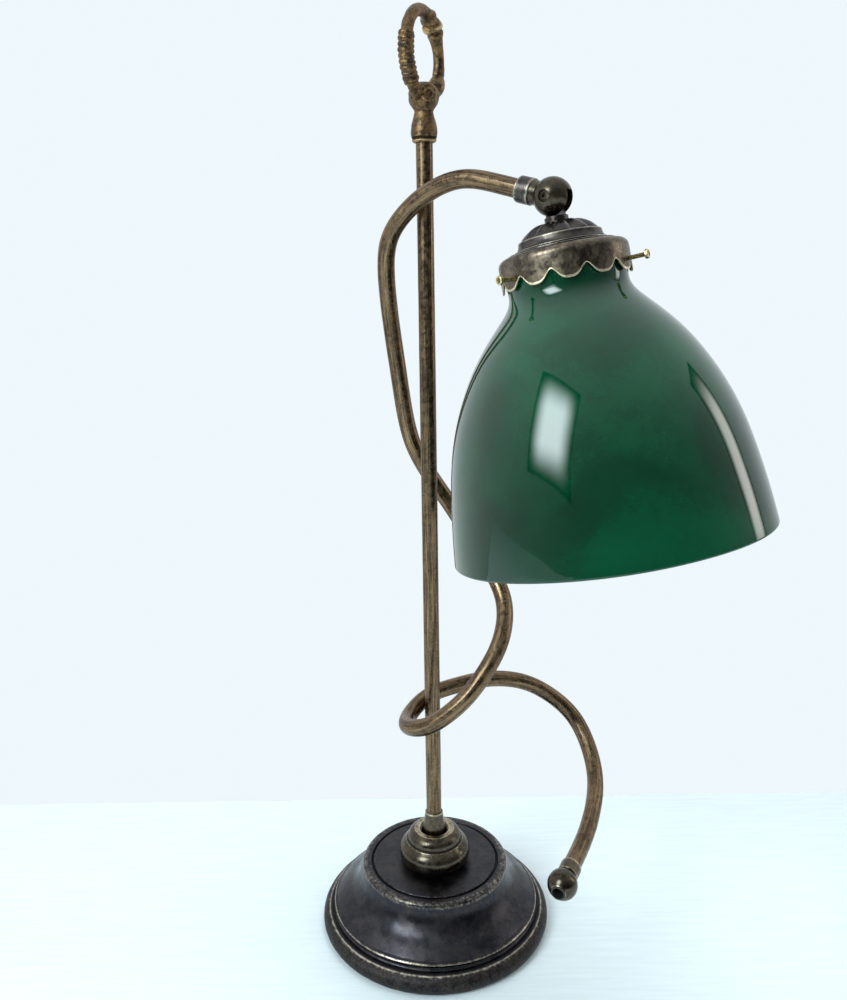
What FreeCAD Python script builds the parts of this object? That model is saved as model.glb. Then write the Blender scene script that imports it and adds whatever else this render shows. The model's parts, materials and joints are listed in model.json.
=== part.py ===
"""Adjustable desk lamp: a weighted round base, a slim post with a ring handle, a bent tube arm that
winds round the post and slides on it, and a cased glass shade hung from a slotted ball knuckle.

Frame: millimetres, +Z up, origin on the surface that the base stands on, on the post's axis.
Each piece is a solid of its own in parts/NODE.step.
"""
import FreeCAD
import Part

import math
import os

Vector = FreeCAD.Vector
Z = Vector(0, 0, 1)

# ---------------------------------------------------------------- clearances
RUNNING_FIT = 0.05        # radial, for a shaft that turns or slides in a hole
BODY_GAP = 0.3            # between two pieces that move past each other
SCREW_FIT = 0.15          # radial, around a fixed screw or stud

# ---------------------------------------------------------------- base
BASE_RADIUS = 91.5
FOOT_HEIGHT = 13.8        # the bulged rim that the base stands on
FOOT_TAPER = 5.2          # how far the rim leans in from its widest place to its top edge
STEP_INSET = 9.5          # how far the dome's edge stands in from the foot
STEP_HEIGHT = 19.8        # height of the dome's lower edge
LIP_RADIUS = BASE_RADIUS - 33.3  # rounded lip at the top of the dome
LIP_HEIGHT = 50.8
PLATE_HEIGHT = 51.0       # flat top that the cup stands on
GROOVE_RADIUS = LIP_RADIUS - 7.6
GROOVE_WIDTH = 1.4
GROOVE_DEPTH = 1.6
BASE_WALL = 3.2
FELT_THICKNESS = 2.0
FELT_INSET = 4.0
WEIGHT_RADIUS = BASE_RADIUS - 25.5
WEIGHT_THICKNESS = 17.0
WEIGHT_BOSS_RADIUS = 20.0
WEIGHT_LIFT = 7.0         # from the standing surface to the weight's underside

# ---------------------------------------------------------------- stud, nuts, cup
STUD_DIAMETER = 10.0      # also the post's bore, less a running fit
SPIGOT_LENGTH = 44.0      # plain top of the stud, inside the post
NUT_ACROSS_FLATS = 16.0
NUT_THICKNESS = 7.0
JAM_NUT_THICKNESS = 4.0
WASHER_DIAMETER = 24.0
WASHER_THICKNESS = 1.6
CUP_RADIUS = 28.4
CUP_HEIGHT = 26.6
CUP_WEB = 3.0
CUP_WEB_LIFT = 9.0        # web's underside above the plate
CUP_MOUTH_CLEARANCE = 0.75  # between the ferrule and the cup
THRUST_WASHER_THICKNESS = 1.2

# ---------------------------------------------------------------- post and finial
POST_DIAMETER = 12.0
POST_WALL = (POST_DIAMETER - STUD_DIAMETER) / 2
POST_TOP = 612.0
FERRULE_RADIUS = POST_DIAMETER / 2 + 3.0
FERRULE_TOP_RADIUS = POST_DIAMETER / 2 + 1.2
CUP_MOUTH_RADIUS = FERRULE_RADIUS + CUP_MOUTH_CLEARANCE
FERRULE_LENGTH = 24.5
COLLAR_RADIUS = POST_DIAMETER / 2 + 3.3
COLLAR_NECK_RADIUS = POST_DIAMETER / 2 + 0.5
COLLAR_BOTTOM = POST_TOP - 5.0
COLLAR_LENGTH = 21.0
HEAD_RADIUS = 11.0
RING_CENTRE_HEIGHT = POST_TOP + 53.0
RING_RADIUS = 28.5        # to the bar's centreline
RING_BAR_RADIUS = 4.4
RING_TURN = 66.5          # degrees, of the ring's plane about the post, from +X towards +Y
BINDING_RIBS = 9
BINDING_RADIUS = 5.7
BINDING_START = 166.0     # degrees round the ring, from its far side towards its top
BINDING_PITCH = 7.0
BINDING_RIB_LENGTH = 3.2
KNOT_LOBES = ((38, 6.0), (52, 6.9), (68, 6.4))   # degrees round the ring, and radius
LIMB_SWELLS = ((-30, 6.6), (-45, 6.2))

# ---------------------------------------------------------------- arm
ARM_DIAMETER = 12.7
ARM_WALL = 1.0
ARM_INSERTION = 9.0       # length of tube inside each end coupling
KNUCKLE_CENTRE = Vector(80, -73, 563)
END_BALL_CENTRE = Vector(88, -100, 98)
ARM_POINTS = [
    KNUCKLE_CENTRE,
    Vector(24.5, -32.7, 581.4),
    Vector(-4, -12, 570),
    Vector(-29, 1, 543),
    Vector(-29, 18, 501),
    Vector(-22, 21, 444),
    Vector(-14, 28, 385),
    Vector(16, 23, 341),
    Vector(40, 11, 303),
    Vector(58, -8, 273),
    Vector(51, -37, 247),
    Vector(25, -53, 214),
    Vector(-2, -50, 191),
    Vector(-20, -32, 181),
    Vector(-20, -3, 176),
    Vector(-3, 17, 185),
    Vector(42, 28, 193),
    Vector(80, 41, 184),
    Vector(121, 41, 154),
    Vector(133, 1, 117),
    Vector(114, -50, 102),
    END_BALL_CENTRE,
]
RUN_SHARE = 0.49          # share of the shorter run that each bend takes up
WINDING_FOR = 24.7        # post's and arm's diameters added up, for which the route is drawn
FLEX_DIAMETER = 6.0       # two-core flex inside the arm

# ---------------------------------------------------------------- knuckle
KNUCKLE_RADIUS = 12.6
SLOT_WIDTH = 7.0
TONGUE_THICKNESS = 6.4
TONGUE_RADIUS = 9.4
STEM_WIDTH = 11.0         # from the tongue's eye down to its hub
COUPLING_RADIUS = 8.75
COUPLING_NEAR = 14.0      # from the knuckle's centre to the coupling's near face
COUPLING_LENGTH = 10.8
COUPLING_NECK_RADIUS = 7.8
WIRE_WAY_START = 8.0      # from the knuckle's centre, inside the slot
PIVOT_DIAMETER = 5.0
PIVOT_HEAD_DIAMETER = 7.6
PIVOT_HEAD_THICKNESS = 3.0
PIVOT_RECESS = 1.4        # how deep the pin's ends lie below the ball's flats

# ---------------------------------------------------------------- arm's lower end
END_BALL_RADIUS = 10.6
END_COUPLING_RADIUS = 7.5
END_COUPLING_NEAR = 9.0
END_COUPLING_LENGTH = 10.5
INLET_RADIUS = 4.0        # bore of the bush where the flex comes in
BUSH_WALL = 1.2
BUSH_FLANGE = 1.5

# ---------------------------------------------------------------- head, measured down the shade's axis
SHADE_LEAN = 11.7         # degrees between the shade's axis and the vertical, at rest
LEAN_TURN = -36.0         # degrees, of the direction in which the shade leans, from +X
NIPPLE_DIAMETER = 10.0
NIPPLE_BORE = 7.0
HUB_RADIUS = 7.6
CAP_TOP = 16.0
CAP_RADIUS = 28.4
CAP_WALL = 1.2
CAP_FLUTES = 11
FLUTE_RADIUS = 2.4
FLUTE_SLOPE = 23.0        # degrees, of the grooves down the cap's dome
GALLERY_TOP = 33.6
GALLERY_RADIUS = 41.4
GALLERY_DEPTH = 21.6
GALLERY_WALL = 1.1
GALLERY_SCALLOPS = 12
SCALLOP_DEPTH = 7.0
SHOULDER_RADIUS = 5.2
HOLDER_DIAMETER = 38.0
HOLDER_LENGTH = 34.0
HOLDER_WALL = 1.0

# ---------------------------------------------------------------- shade
SHADE_TOP = GALLERY_TOP + 4.9
SHADE_BOTTOM = 222.0
NECK_RADIUS = GALLERY_RADIUS - 3.2
NECK_LIP = 1.2
SHADE_RADIUS = 102.5
GREEN_WALL = 2.6
OPAL_WALL = 1.1

# ---------------------------------------------------------------- gallery screws and bulb
SCREW_COUNT = 3
SCREW_DIAMETER = 3.0
SCREW_LENGTH = 12.5
SCREW_HEAD_DIAMETER = 6.0
SCREW_HEAD_LENGTH = 2.6
SCREW_FIRST_TURN = 22.0   # degrees about the shade's axis, from the direction of the pivot pin
SCREW_DROP = 14.6         # below the gallery's top
BULB_RADIUS = 30.0
BULB_CENTRE = 128.0
BULB_NECK_RADIUS = 13.4
BULB_CAP_RADIUS = 13.0
BULB_WALL = 0.8


# ================================================================ helpers
def outline(*steps):
    """Closed face in the XZ plane: a step is (radius, height), or a pair of them for an arc."""
    first = Vector(steps[0][0], 0, steps[0][1])
    here = first
    edges = []
    for step in steps[1:]:
        if isinstance(step[0], tuple):
            middle = Vector(step[0][0], 0, step[0][1])
            there = Vector(step[1][0], 0, step[1][1])
            edges.append(Part.Arc(here, middle, there).toShape())
        else:
            there = Vector(step[0], 0, step[1])
            edges.append(Part.LineSegment(here, there).toShape())
        here = there
    if here.distanceToPoint(first) > 1e-6:
        edges.append(Part.LineSegment(here, first).toShape())
    return Part.Face(Part.Wire(edges))


def turned(*steps):
    """Solid of revolution about Z from an outline of radii and heights."""
    return outline(*steps).revolve(Vector(0, 0, 0), Z, 360)


def tube(outer, inner, low, high):
    """Straight tube about Z."""
    wall = Part.makeCylinder(outer, high - low, Vector(0, 0, low))
    return wall.cut(Part.makeCylinder(inner, high - low + 2, Vector(0, 0, low - 1)))


def hexagon(across_flats, low, high, bore_radius):
    """Hexagon nut about Z with a plain bore."""
    radius = across_flats / math.sqrt(3)
    corners = [Vector(radius * math.cos(math.radians(60 * i)), radius * math.sin(math.radians(60 * i)), low)
               for i in range(7)]
    nut = Part.Face(Part.makePolygon(corners)).extrude(Vector(0, 0, high - low))
    return nut.cut(Part.makeCylinder(bore_radius, high - low + 2, Vector(0, 0, low - 1)))


def placed(shape, origin, z_axis, x_axis):
    """Copy of a shape with its own Z along z_axis and its own X along x_axis, at origin."""
    y_axis = z_axis.cross(x_axis)
    matrix = FreeCAD.Matrix(
        x_axis.x, y_axis.x, z_axis.x, origin.x,
        x_axis.y, y_axis.y, z_axis.y, origin.y,
        x_axis.z, y_axis.z, z_axis.z, origin.z,
        0, 0, 0, 1)
    copy = shape.copy()
    copy.Placement = FreeCAD.Placement(matrix).multiply(copy.Placement)
    return copy


def unit(vector):
    """Copy of a vector with a length of one."""
    return Vector(vector).normalize()


def bend_path(points, share):
    """Straight runs and tangent arcs along a route.

    Each entry is ("run", start, end) or ("bend", start, centre, axis, degrees). A bend takes up the
    given share of the shorter of its two runs on either side of its point.
    """
    pieces = []
    here = points[0]
    for before, corner, after in zip(points, points[1:], points[2:]):
        back = unit(before - corner)
        ahead = unit(after - corner)
        turn = math.pi - back.getAngle(ahead)
        reach = share * min((before - corner).Length, (after - corner).Length)
        radius = reach / math.tan(turn / 2)
        start = corner + back * reach
        centre = corner + unit(back + ahead) * (radius / math.cos(turn / 2))
        axis = unit((back * -1).cross(ahead))
        pieces.append(("run", here, start))
        pieces.append(("bend", start, centre, axis, math.degrees(turn)))
        here = corner + ahead * reach
    pieces.append(("run", here, points[-1]))
    return pieces


def bent_bar(pieces, radius, bore_radius=0.0):
    """Round bar or tube along the pieces of a bend path."""
    solids = []
    for piece in pieces:
        start = piece[1]
        if piece[0] == "run":
            heading = unit(piece[2] - start)
        else:
            heading = unit(piece[3].cross(start - piece[2]))
        section = Part.Face(Part.Wire(Part.makeCircle(radius, start, heading)))
        if bore_radius:
            section = section.cut(Part.Face(Part.Wire(Part.makeCircle(bore_radius, start, heading))))
        if piece[0] == "run":
            solids.append(section.extrude(piece[2] - start))
        else:
            solids.append(section.revolve(piece[2], piece[3], piece[4]))
    return solids[0].multiFuse(solids[1:])


def one_solid(shape):
    """The single solid of a shape; a piece that came out in several is an error."""
    if len(shape.Solids) != 1:
        raise ValueError("expected one solid, found %d" % len(shape.Solids))
    return shape.Solids[0]


def save(node, shape):
    """Write one piece, checked for a closed and valid boundary."""
    if not shape.isValid():
        raise ValueError(node + " is not valid")
    shape.exportStep("parts/" + node + ".step")


# ================================================================ base
def base_shell():
    """Hollow cast shell: bulged foot, cove, ogee dome, rounded lip and a grooved flat top."""
    step = BASE_RADIUS - STEP_INSET
    foot_floor = FELT_THICKNESS / 2
    outer = turned(
        (0, foot_floor), (BASE_RADIUS - 3.0, foot_floor),
        ((BASE_RADIUS - 0.3, FOOT_HEIGHT / 2), (BASE_RADIUS - FOOT_TAPER, FOOT_HEIGHT)),
        (BASE_RADIUS - FOOT_TAPER - 2.2, FOOT_HEIGHT + 0.6),
        ((step - 1.8, FOOT_HEIGHT + 2.2), (step - 0.6, STEP_HEIGHT - 1.6)),
        ((step + 0.1, STEP_HEIGHT - 0.6), (step - 0.8, STEP_HEIGHT + 0.3)),
        ((step - 6.6, STEP_HEIGHT + 3.2), (step - 12.0, STEP_HEIGHT + 7.4)),
        ((LIP_RADIUS + 4.2, STEP_HEIGHT + 16.2), (LIP_RADIUS + 0.4, LIP_HEIGHT - 4.4)),
        ((LIP_RADIUS - 0.4, LIP_HEIGHT - 1.0), (LIP_RADIUS - 3.2, LIP_HEIGHT)),
        (GROOVE_RADIUS + 0.6, LIP_HEIGHT - 0.2),
        (GROOVE_RADIUS, LIP_HEIGHT - GROOVE_DEPTH),
        (GROOVE_RADIUS - GROOVE_WIDTH, LIP_HEIGHT - GROOVE_DEPTH),
        (GROOVE_RADIUS - GROOVE_WIDTH, PLATE_HEIGHT - 0.6),
        (GROOVE_RADIUS - GROOVE_WIDTH - 0.6, PLATE_HEIGHT),
        (0, PLATE_HEIGHT))
    ceiling = PLATE_HEIGHT - BASE_WALL - GROOVE_DEPTH / 2
    hollow = turned(
        (0, -1), (BASE_RADIUS - FELT_INSET, -1), (BASE_RADIUS - FELT_INSET, FELT_THICKNESS),
        (step - BASE_WALL - 2.4, FELT_THICKNESS), (step - BASE_WALL - 2.4, STEP_HEIGHT - BASE_WALL),
        (WEIGHT_RADIUS + 3, STEP_HEIGHT + 6.0 - BASE_WALL),
        (LIP_RADIUS - BASE_WALL + 2.0, STEP_HEIGHT + 14.5), (LIP_RADIUS - BASE_WALL - 1.6, LIP_HEIGHT - 8.0),
        (GROOVE_RADIUS - GROOVE_WIDTH - BASE_WALL, ceiling), (0, ceiling))
    hole = Part.makeCylinder(STUD_DIAMETER / 2 + SCREW_FIT, LIP_HEIGHT, Vector(0, 0, ceiling - 1))
    return outer.cut(hollow).cut(hole)


def base_weight():
    """Iron slug with a boss that meets the shell's ceiling, and a pocket for the lower nut."""
    ceiling = PLATE_HEIGHT - BASE_WALL - GROOVE_DEPTH / 2
    shoulder = WEIGHT_LIFT + WEIGHT_THICKNESS
    slug = turned((0, WEIGHT_LIFT), (WEIGHT_RADIUS, WEIGHT_LIFT), (WEIGHT_RADIUS, shoulder),
                  (WEIGHT_BOSS_RADIUS, shoulder), (WEIGHT_BOSS_RADIUS, ceiling), (0, ceiling))
    pocket = Part.makeCylinder(WASHER_DIAMETER / 2 + 1, lower_washer_top() + 1, Vector(0, 0, -1))
    hole = Part.makeCylinder(STUD_DIAMETER / 2 + SCREW_FIT, LIP_HEIGHT)
    return slug.cut(pocket).cut(hole)


def lower_washer_top():
    """Height of the pocket's roof, which the washer bears on."""
    return WEIGHT_LIFT + NUT_THICKNESS + WASHER_THICKNESS + 0.6


def cup_web_top():
    """Height of the web's upper face inside the cup."""
    return PLATE_HEIGHT + CUP_WEB_LIFT + CUP_WEB


def column_floor():
    """Height of the lowest point of the turning post and ferrule."""
    return cup_web_top() + JAM_NUT_THICKNESS + THRUST_WASHER_THICKNESS + RUNNING_FIT


def base_felt():
    """Felt disc in the recess under the shell."""
    return Part.makeCylinder(BASE_RADIUS - FELT_INSET - BODY_GAP, FELT_THICKNESS)


def base_cup():
    """Bell-shaped cup with a stepped neck, a rounded rim and a web that the jam nut clamps."""
    low = PLATE_HEIGHT
    body = turned(
        (0, low), (CUP_RADIUS - 3.2, low),
        ((CUP_RADIUS, low + 8.0), (CUP_RADIUS - 5.4, low + 17.2)),
        (CUP_RADIUS - 7.2, low + 17.8), (CUP_RADIUS - 7.0, low + 18.8),
        ((CUP_RADIUS - 8.6, low + 23.6), (CUP_RADIUS - 12.6, low + CUP_HEIGHT)),
        (CUP_MOUTH_RADIUS + 2.4, low + CUP_HEIGHT),
        (CUP_MOUTH_RADIUS, low + CUP_HEIGHT - 1.6), (0, low + CUP_HEIGHT - 1.6))
    mouth = Part.makeCylinder(CUP_MOUTH_RADIUS, CUP_HEIGHT, Vector(0, 0, cup_web_top()))
    under = turned((0, low - 1), (CUP_RADIUS - 6.0, low - 1), (CUP_RADIUS - 5.0, low + CUP_WEB_LIFT - 2),
                   (CUP_RADIUS - 8.0, low + CUP_WEB_LIFT), (0, low + CUP_WEB_LIFT))
    hole = Part.makeCylinder(STUD_DIAMETER / 2 + SCREW_FIT, CUP_HEIGHT, Vector(0, 0, low))
    return body.cut(mouth).cut(under).cut(hole)


def base_stud():
    """Stud from the lower nut to the cup, with a plain spigot that the post turns on."""
    low = WEIGHT_LIFT + 0.4
    shoulder = column_floor() - RUNNING_FIT
    spigot = POST_DIAMETER / 2 - POST_WALL - RUNNING_FIT
    return turned((0, low), (STUD_DIAMETER / 2 - 0.6, low), (STUD_DIAMETER / 2, low + 0.6),
                  (STUD_DIAMETER / 2, shoulder - THRUST_WASHER_THICKNESS), (spigot, shoulder),
                  (spigot, shoulder + SPIGOT_LENGTH - 1), (spigot - 1, shoulder + SPIGOT_LENGTH),
                  (0, shoulder + SPIGOT_LENGTH))


def lower_nut():
    """Nut on the stud, under the weight."""
    top = lower_washer_top() - WASHER_THICKNESS
    return hexagon(NUT_ACROSS_FLATS, top - NUT_THICKNESS, top, STUD_DIAMETER / 2)


def lower_washer():
    """Plain washer between the lower nut and the weight."""
    top = lower_washer_top()
    return tube(WASHER_DIAMETER / 2, STUD_DIAMETER / 2 + SCREW_FIT, top - WASHER_THICKNESS, top)


def cup_nut():
    """Jam nut inside the cup's mouth that clamps the cup to the shell."""
    return hexagon(NUT_ACROSS_FLATS, cup_web_top(), cup_web_top() + JAM_NUT_THICKNESS, STUD_DIAMETER / 2)


def thrust_washer():
    """Nylon washer that the turning post stands on."""
    top = column_floor() - RUNNING_FIT
    bore = STUD_DIAMETER / 2 + RUNNING_FIT
    return tube(CUP_MOUTH_RADIUS - BODY_GAP, bore, top - THRUST_WASHER_THICKNESS, top)


# ================================================================ column
def post():
    """Straight tube from the cup to the finial."""
    return tube(POST_DIAMETER / 2, POST_DIAMETER / 2 - POST_WALL, column_floor(), POST_TOP)


def ferrule():
    """Flared sleeve on the foot of the post."""
    low = column_floor()
    bore = POST_DIAMETER / 2
    return turned((bore, low), (FERRULE_RADIUS, low), (FERRULE_RADIUS, low + 11.0),
                  ((FERRULE_RADIUS - 1.0, low + 15.5), (FERRULE_TOP_RADIUS, low + FERRULE_LENGTH - 2.2)),
                  ((FERRULE_TOP_RADIUS - 0.1, low + FERRULE_LENGTH - 0.6), (bore, low + FERRULE_LENGTH)))


def finial_collar():
    """Bell-shaped collar that caps the post and carries the ring handle's casting."""
    low = COLLAR_BOTTOM
    high = low + COLLAR_LENGTH
    body = turned((0, low), (COLLAR_RADIUS - 1.9, low),
                  ((COLLAR_RADIUS - 0.7, low + 0.5), (COLLAR_RADIUS - 0.5, low + 1.8)),
                  (COLLAR_RADIUS - 0.9, low + 2.4), (COLLAR_RADIUS - 0.3, low + 3.2),
                  ((COLLAR_RADIUS, low + 8.0), (COLLAR_RADIUS - 0.5, low + 12.6)),
                  ((COLLAR_NECK_RADIUS + 0.9, low + 16.8), (COLLAR_NECK_RADIUS, high)), (0, high))
    return body.cut(Part.makeCylinder(POST_DIAMETER / 2, POST_TOP - low + 1, Vector(0, 0, low - 1)))


def ring_direction(turn):
    """Direction of the ring's horizontal diameter."""
    return Vector(math.cos(math.radians(turn)), math.sin(math.radians(turn)), 0)


def ring_point(angle):
    """Point on the ring's centreline, with the angle from its far side towards its top."""
    along = ring_direction(RING_TURN) * (RING_RADIUS * math.cos(math.radians(angle)))
    return Vector(0, 0, RING_CENTRE_HEIGHT + RING_RADIUS * math.sin(math.radians(angle))) + along


def ring_normal():
    """Normal of the ring's plane."""
    return ring_direction(RING_TURN - 90)


def binding_rib():
    """One rounded turn of the binding, about its own Z."""
    edge = BINDING_RADIUS - 0.9
    half = BINDING_RIB_LENGTH / 2
    return turned((0, -half), (edge, -half), ((BINDING_RADIUS, 0), (edge, half)), (0, half))


def handle_ring():
    """Cast ring with a bound stretch, a knot near the top and a swelling low on the far side."""
    centre = Vector(0, 0, RING_CENTRE_HEIGHT)
    ring = Part.makeTorus(RING_RADIUS, RING_BAR_RADIUS, centre, ring_normal())
    lumps = []
    for i in range(BINDING_RIBS):
        angle = BINDING_START + BINDING_PITCH * i
        tangent = unit(ring_point(angle + 1) - ring_point(angle - 1))
        lumps.append(placed(binding_rib(), ring_point(angle), tangent, ring_normal()))
    for angle, radius in KNOT_LOBES + LIMB_SWELLS:
        lumps.append(Part.makeSphere(radius, ring_point(angle)))
    return one_solid(ring.multiFuse(lumps))


def finial_head():
    """Knotted casting above the neck, closed round the foot of the ring."""
    low = COLLAR_BOTTOM + COLLAR_LENGTH
    middle = RING_CENTRE_HEIGHT - RING_RADIUS + 0.8
    knob = turned((0, low), (COLLAR_NECK_RADIUS, low), (COLLAR_NECK_RADIUS + 0.6, low + 1.2),
                  ((HEAD_RADIUS, middle), (0, middle + HEAD_RADIUS - 0.6)))
    return one_solid(knob.cut(handle_ring()))


# ================================================================ arm
def arm_route():
    """Route of the arm: its turns round the post widen with the two diameters, its ends stay."""
    widen = (POST_DIAMETER + ARM_DIAMETER) / WINDING_FOR
    turns = [Vector(point.x * widen, point.y * widen, point.z) for point in ARM_POINTS[1:-1]]
    return [KNUCKLE_CENTRE] + turns + [END_BALL_CENTRE]


def arm_start():
    """Where the arm's tube begins, inside the upper coupling."""
    heading = unit(arm_route()[1] - KNUCKLE_CENTRE)
    return KNUCKLE_CENTRE + heading * (COUPLING_NEAR + COUPLING_LENGTH - ARM_INSERTION)


def arm_end():
    """Where the arm's tube ends, inside the lower coupling."""
    heading = unit(arm_route()[-2] - END_BALL_CENTRE)
    return END_BALL_CENTRE + heading * (END_COUPLING_NEAR + END_COUPLING_LENGTH - ARM_INSERTION + 0.5)


def arm_tube():
    """Bent brass tube."""
    route = [arm_start()] + arm_route()[1:-1] + [arm_end()]
    pieces = bend_path(route, RUN_SHARE)
    return one_solid(bent_bar(pieces, ARM_DIAMETER / 2, ARM_DIAMETER / 2 - ARM_WALL))


def arm_flex():
    """Flex inside the arm's tube, from the upper coupling to the inlet bush."""
    upper = unit(arm_route()[1] - KNUCKLE_CENTRE)
    lower = unit(arm_route()[-2] - END_BALL_CENTRE)
    start = KNUCKLE_CENTRE + upper * (COUPLING_NEAR + 1.0)
    end = END_BALL_CENTRE + lower * (END_COUPLING_NEAR + 1.0)
    return one_solid(bent_bar(bend_path([start] + arm_route()[1:-1] + [end], RUN_SHARE), FLEX_DIAMETER / 2))


def along_arm(shape, centre, neighbour):
    """Place a turned piece at an end of the arm, with its own Z towards the tube."""
    heading = unit(neighbour - centre)
    return placed(shape, centre, heading, unit(heading.cross(Z)))


def arm_coupling():
    """Collar that joins the tube to the knuckle."""
    near = COUPLING_NEAR
    far = COUPLING_NEAR + COUPLING_LENGTH
    shape = turned((FLEX_DIAMETER / 2 + 1, near), (COUPLING_RADIUS - 0.8, near),
                   (COUPLING_RADIUS, near + 0.8),
                   (COUPLING_RADIUS, far - 0.6), (COUPLING_RADIUS - 0.6, far), (ARM_DIAMETER / 2, far),
                   (ARM_DIAMETER / 2, far - ARM_INSERTION), (FLEX_DIAMETER / 2 + 1, far - ARM_INSERTION))
    return along_arm(shape, KNUCKLE_CENTRE, arm_route()[1])


def pivot_axis():
    """Direction of the knuckle's pin."""
    return ring_direction(LEAN_TURN - 90)


def lean_direction():
    """Level direction in which the shade leans."""
    return ring_direction(LEAN_TURN)


def knuckle_ball():
    """Slotted ball with a neck that enters the coupling, bored for the pin and its sunk ends."""
    heading = unit(arm_route()[1] - KNUCKLE_CENTRE)
    neck = Part.makeCylinder(COUPLING_NECK_RADIUS, COUPLING_NEAR, KNUCKLE_CENTRE, heading)
    ball = Part.makeSphere(KNUCKLE_RADIUS, KNUCKLE_CENTRE).fuse(neck)
    reach = 2 * KNUCKLE_RADIUS
    swing = TONGUE_RADIUS + 2 * BODY_GAP
    slot = Part.makeCylinder(swing, SLOT_WIDTH, Vector(0, 0, -SLOT_WIDTH / 2))
    mouth = Part.makeBox(reach, reach + 4.0, SLOT_WIDTH, Vector(-swing, -reach, -SLOT_WIDTH / 2))
    slot = placed(slot.fuse(mouth), KNUCKLE_CENTRE, pivot_axis(), lean_direction())
    head = PIVOT_HEAD_DIAMETER / 2
    bore = Part.makeCylinder(PIVOT_DIAMETER / 2, 4 * KNUCKLE_RADIUS, Vector(0, 0, -2 * KNUCKLE_RADIUS))
    seat = Part.makeCylinder(head, KNUCKLE_RADIUS, Vector(0, 0, pin_seat()))
    nut_seat = Part.makeCylinder(head, KNUCKLE_RADIUS, Vector(0, 0, -pin_seat() - KNUCKLE_RADIUS))
    holes = placed(bore.fuse([seat, nut_seat]), KNUCKLE_CENTRE, pivot_axis(), lean_direction())
    start = KNUCKLE_CENTRE + heading * WIRE_WAY_START
    wire_way = Part.makeCylinder(FLEX_DIAMETER / 2, COUPLING_NEAR + 1, start, heading)
    return one_solid(ball.cut(slot).cut(holes).cut(wire_way))


def pin_seat():
    """Distance from the knuckle's centre to the seat of the pin's head."""
    return KNUCKLE_RADIUS - PIVOT_HEAD_THICKNESS - PIVOT_RECESS


def pivot_pin():
    """Pin with a sunk round head, through the ball and the tongue."""
    seat = pin_seat()
    head = PIVOT_HEAD_DIAMETER / 2
    pin = turned((0, -seat - PIVOT_HEAD_THICKNESS), (PIVOT_DIAMETER / 2, -seat - PIVOT_HEAD_THICKNESS),
                 (PIVOT_DIAMETER / 2, seat), (head, seat), (head, seat + PIVOT_HEAD_THICKNESS - 0.5),
                 (head - 0.5, seat + PIVOT_HEAD_THICKNESS), (0, seat + PIVOT_HEAD_THICKNESS))
    drive = Part.makeCylinder(1.6, 2.0, Vector(0, 0, seat + PIVOT_HEAD_THICKNESS - 1.5))
    return placed(pin.cut(drive), KNUCKLE_CENTRE, pivot_axis(), lean_direction())


def pivot_nut():
    """Round nut sunk in the ball's far side, on the pin's end."""
    seat = pin_seat()
    nut = tube(PIVOT_HEAD_DIAMETER / 2, PIVOT_DIAMETER / 2, -seat - PIVOT_HEAD_THICKNESS, -seat)
    return placed(nut, KNUCKLE_CENTRE, pivot_axis(), lean_direction())


def end_coupling():
    """Collar that joins the tube to the end ball."""
    near = END_COUPLING_NEAR
    far = END_COUPLING_NEAR + END_COUPLING_LENGTH
    bore = INLET_RADIUS + BUSH_WALL
    shape = turned((bore, near), (END_COUPLING_RADIUS - 0.5, near), (END_COUPLING_RADIUS, near + 0.5),
                   (END_COUPLING_RADIUS, far - 0.5), (END_COUPLING_RADIUS - 0.5, far),
                   (ARM_DIAMETER / 2, far),
                   (ARM_DIAMETER / 2, far - ARM_INSERTION + 0.5), (bore, far - ARM_INSERTION + 0.5))
    return along_arm(shape, END_BALL_CENTRE, arm_route()[-2])


def end_ball():
    """Ball-shaped cap on the arm's lower end, bored for the inlet bush."""
    radius = END_BALL_RADIUS
    bore = INLET_RADIUS + BUSH_WALL
    ball = Part.makeSphere(radius)
    flat = Part.makeCylinder(radius, radius, Vector(0, 0, END_COUPLING_NEAR))
    face = Part.makeCylinder(radius, radius, Vector(0, 0, -radius - (radius - BUSH_FLANGE)))
    hole = Part.makeCylinder(bore, 4 * radius, Vector(0, 0, -2 * radius))
    return along_arm(one_solid(ball.cut(flat).cut(face).cut(hole)), END_BALL_CENTRE, arm_route()[-2])


def inlet_bush():
    """Plastic bush in the end ball, where the lamp's flex comes in."""
    low = -END_BALL_RADIUS + BUSH_FLANGE
    shape = turned((INLET_RADIUS, low - 1.0), (INLET_RADIUS + BUSH_WALL - 0.4, low - 1.0),
                   (INLET_RADIUS + BUSH_WALL, low), (INLET_RADIUS + BUSH_WALL, END_COUPLING_NEAR),
                   (INLET_RADIUS, END_COUPLING_NEAR))
    return along_arm(shape, END_BALL_CENTRE, arm_route()[-2])


# ================================================================ head
def shade_axis():
    """Direction from the knuckle down the shade's axis."""
    lean = math.radians(SHADE_LEAN)
    return lean_direction() * math.sin(lean) - Z * math.cos(lean)


def hung(shape):
    """Place a piece of the head: its own Z runs down the shade's axis and its X along the pin."""
    return placed(shape, KNUCKLE_CENTRE, shade_axis(), pivot_axis())


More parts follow.
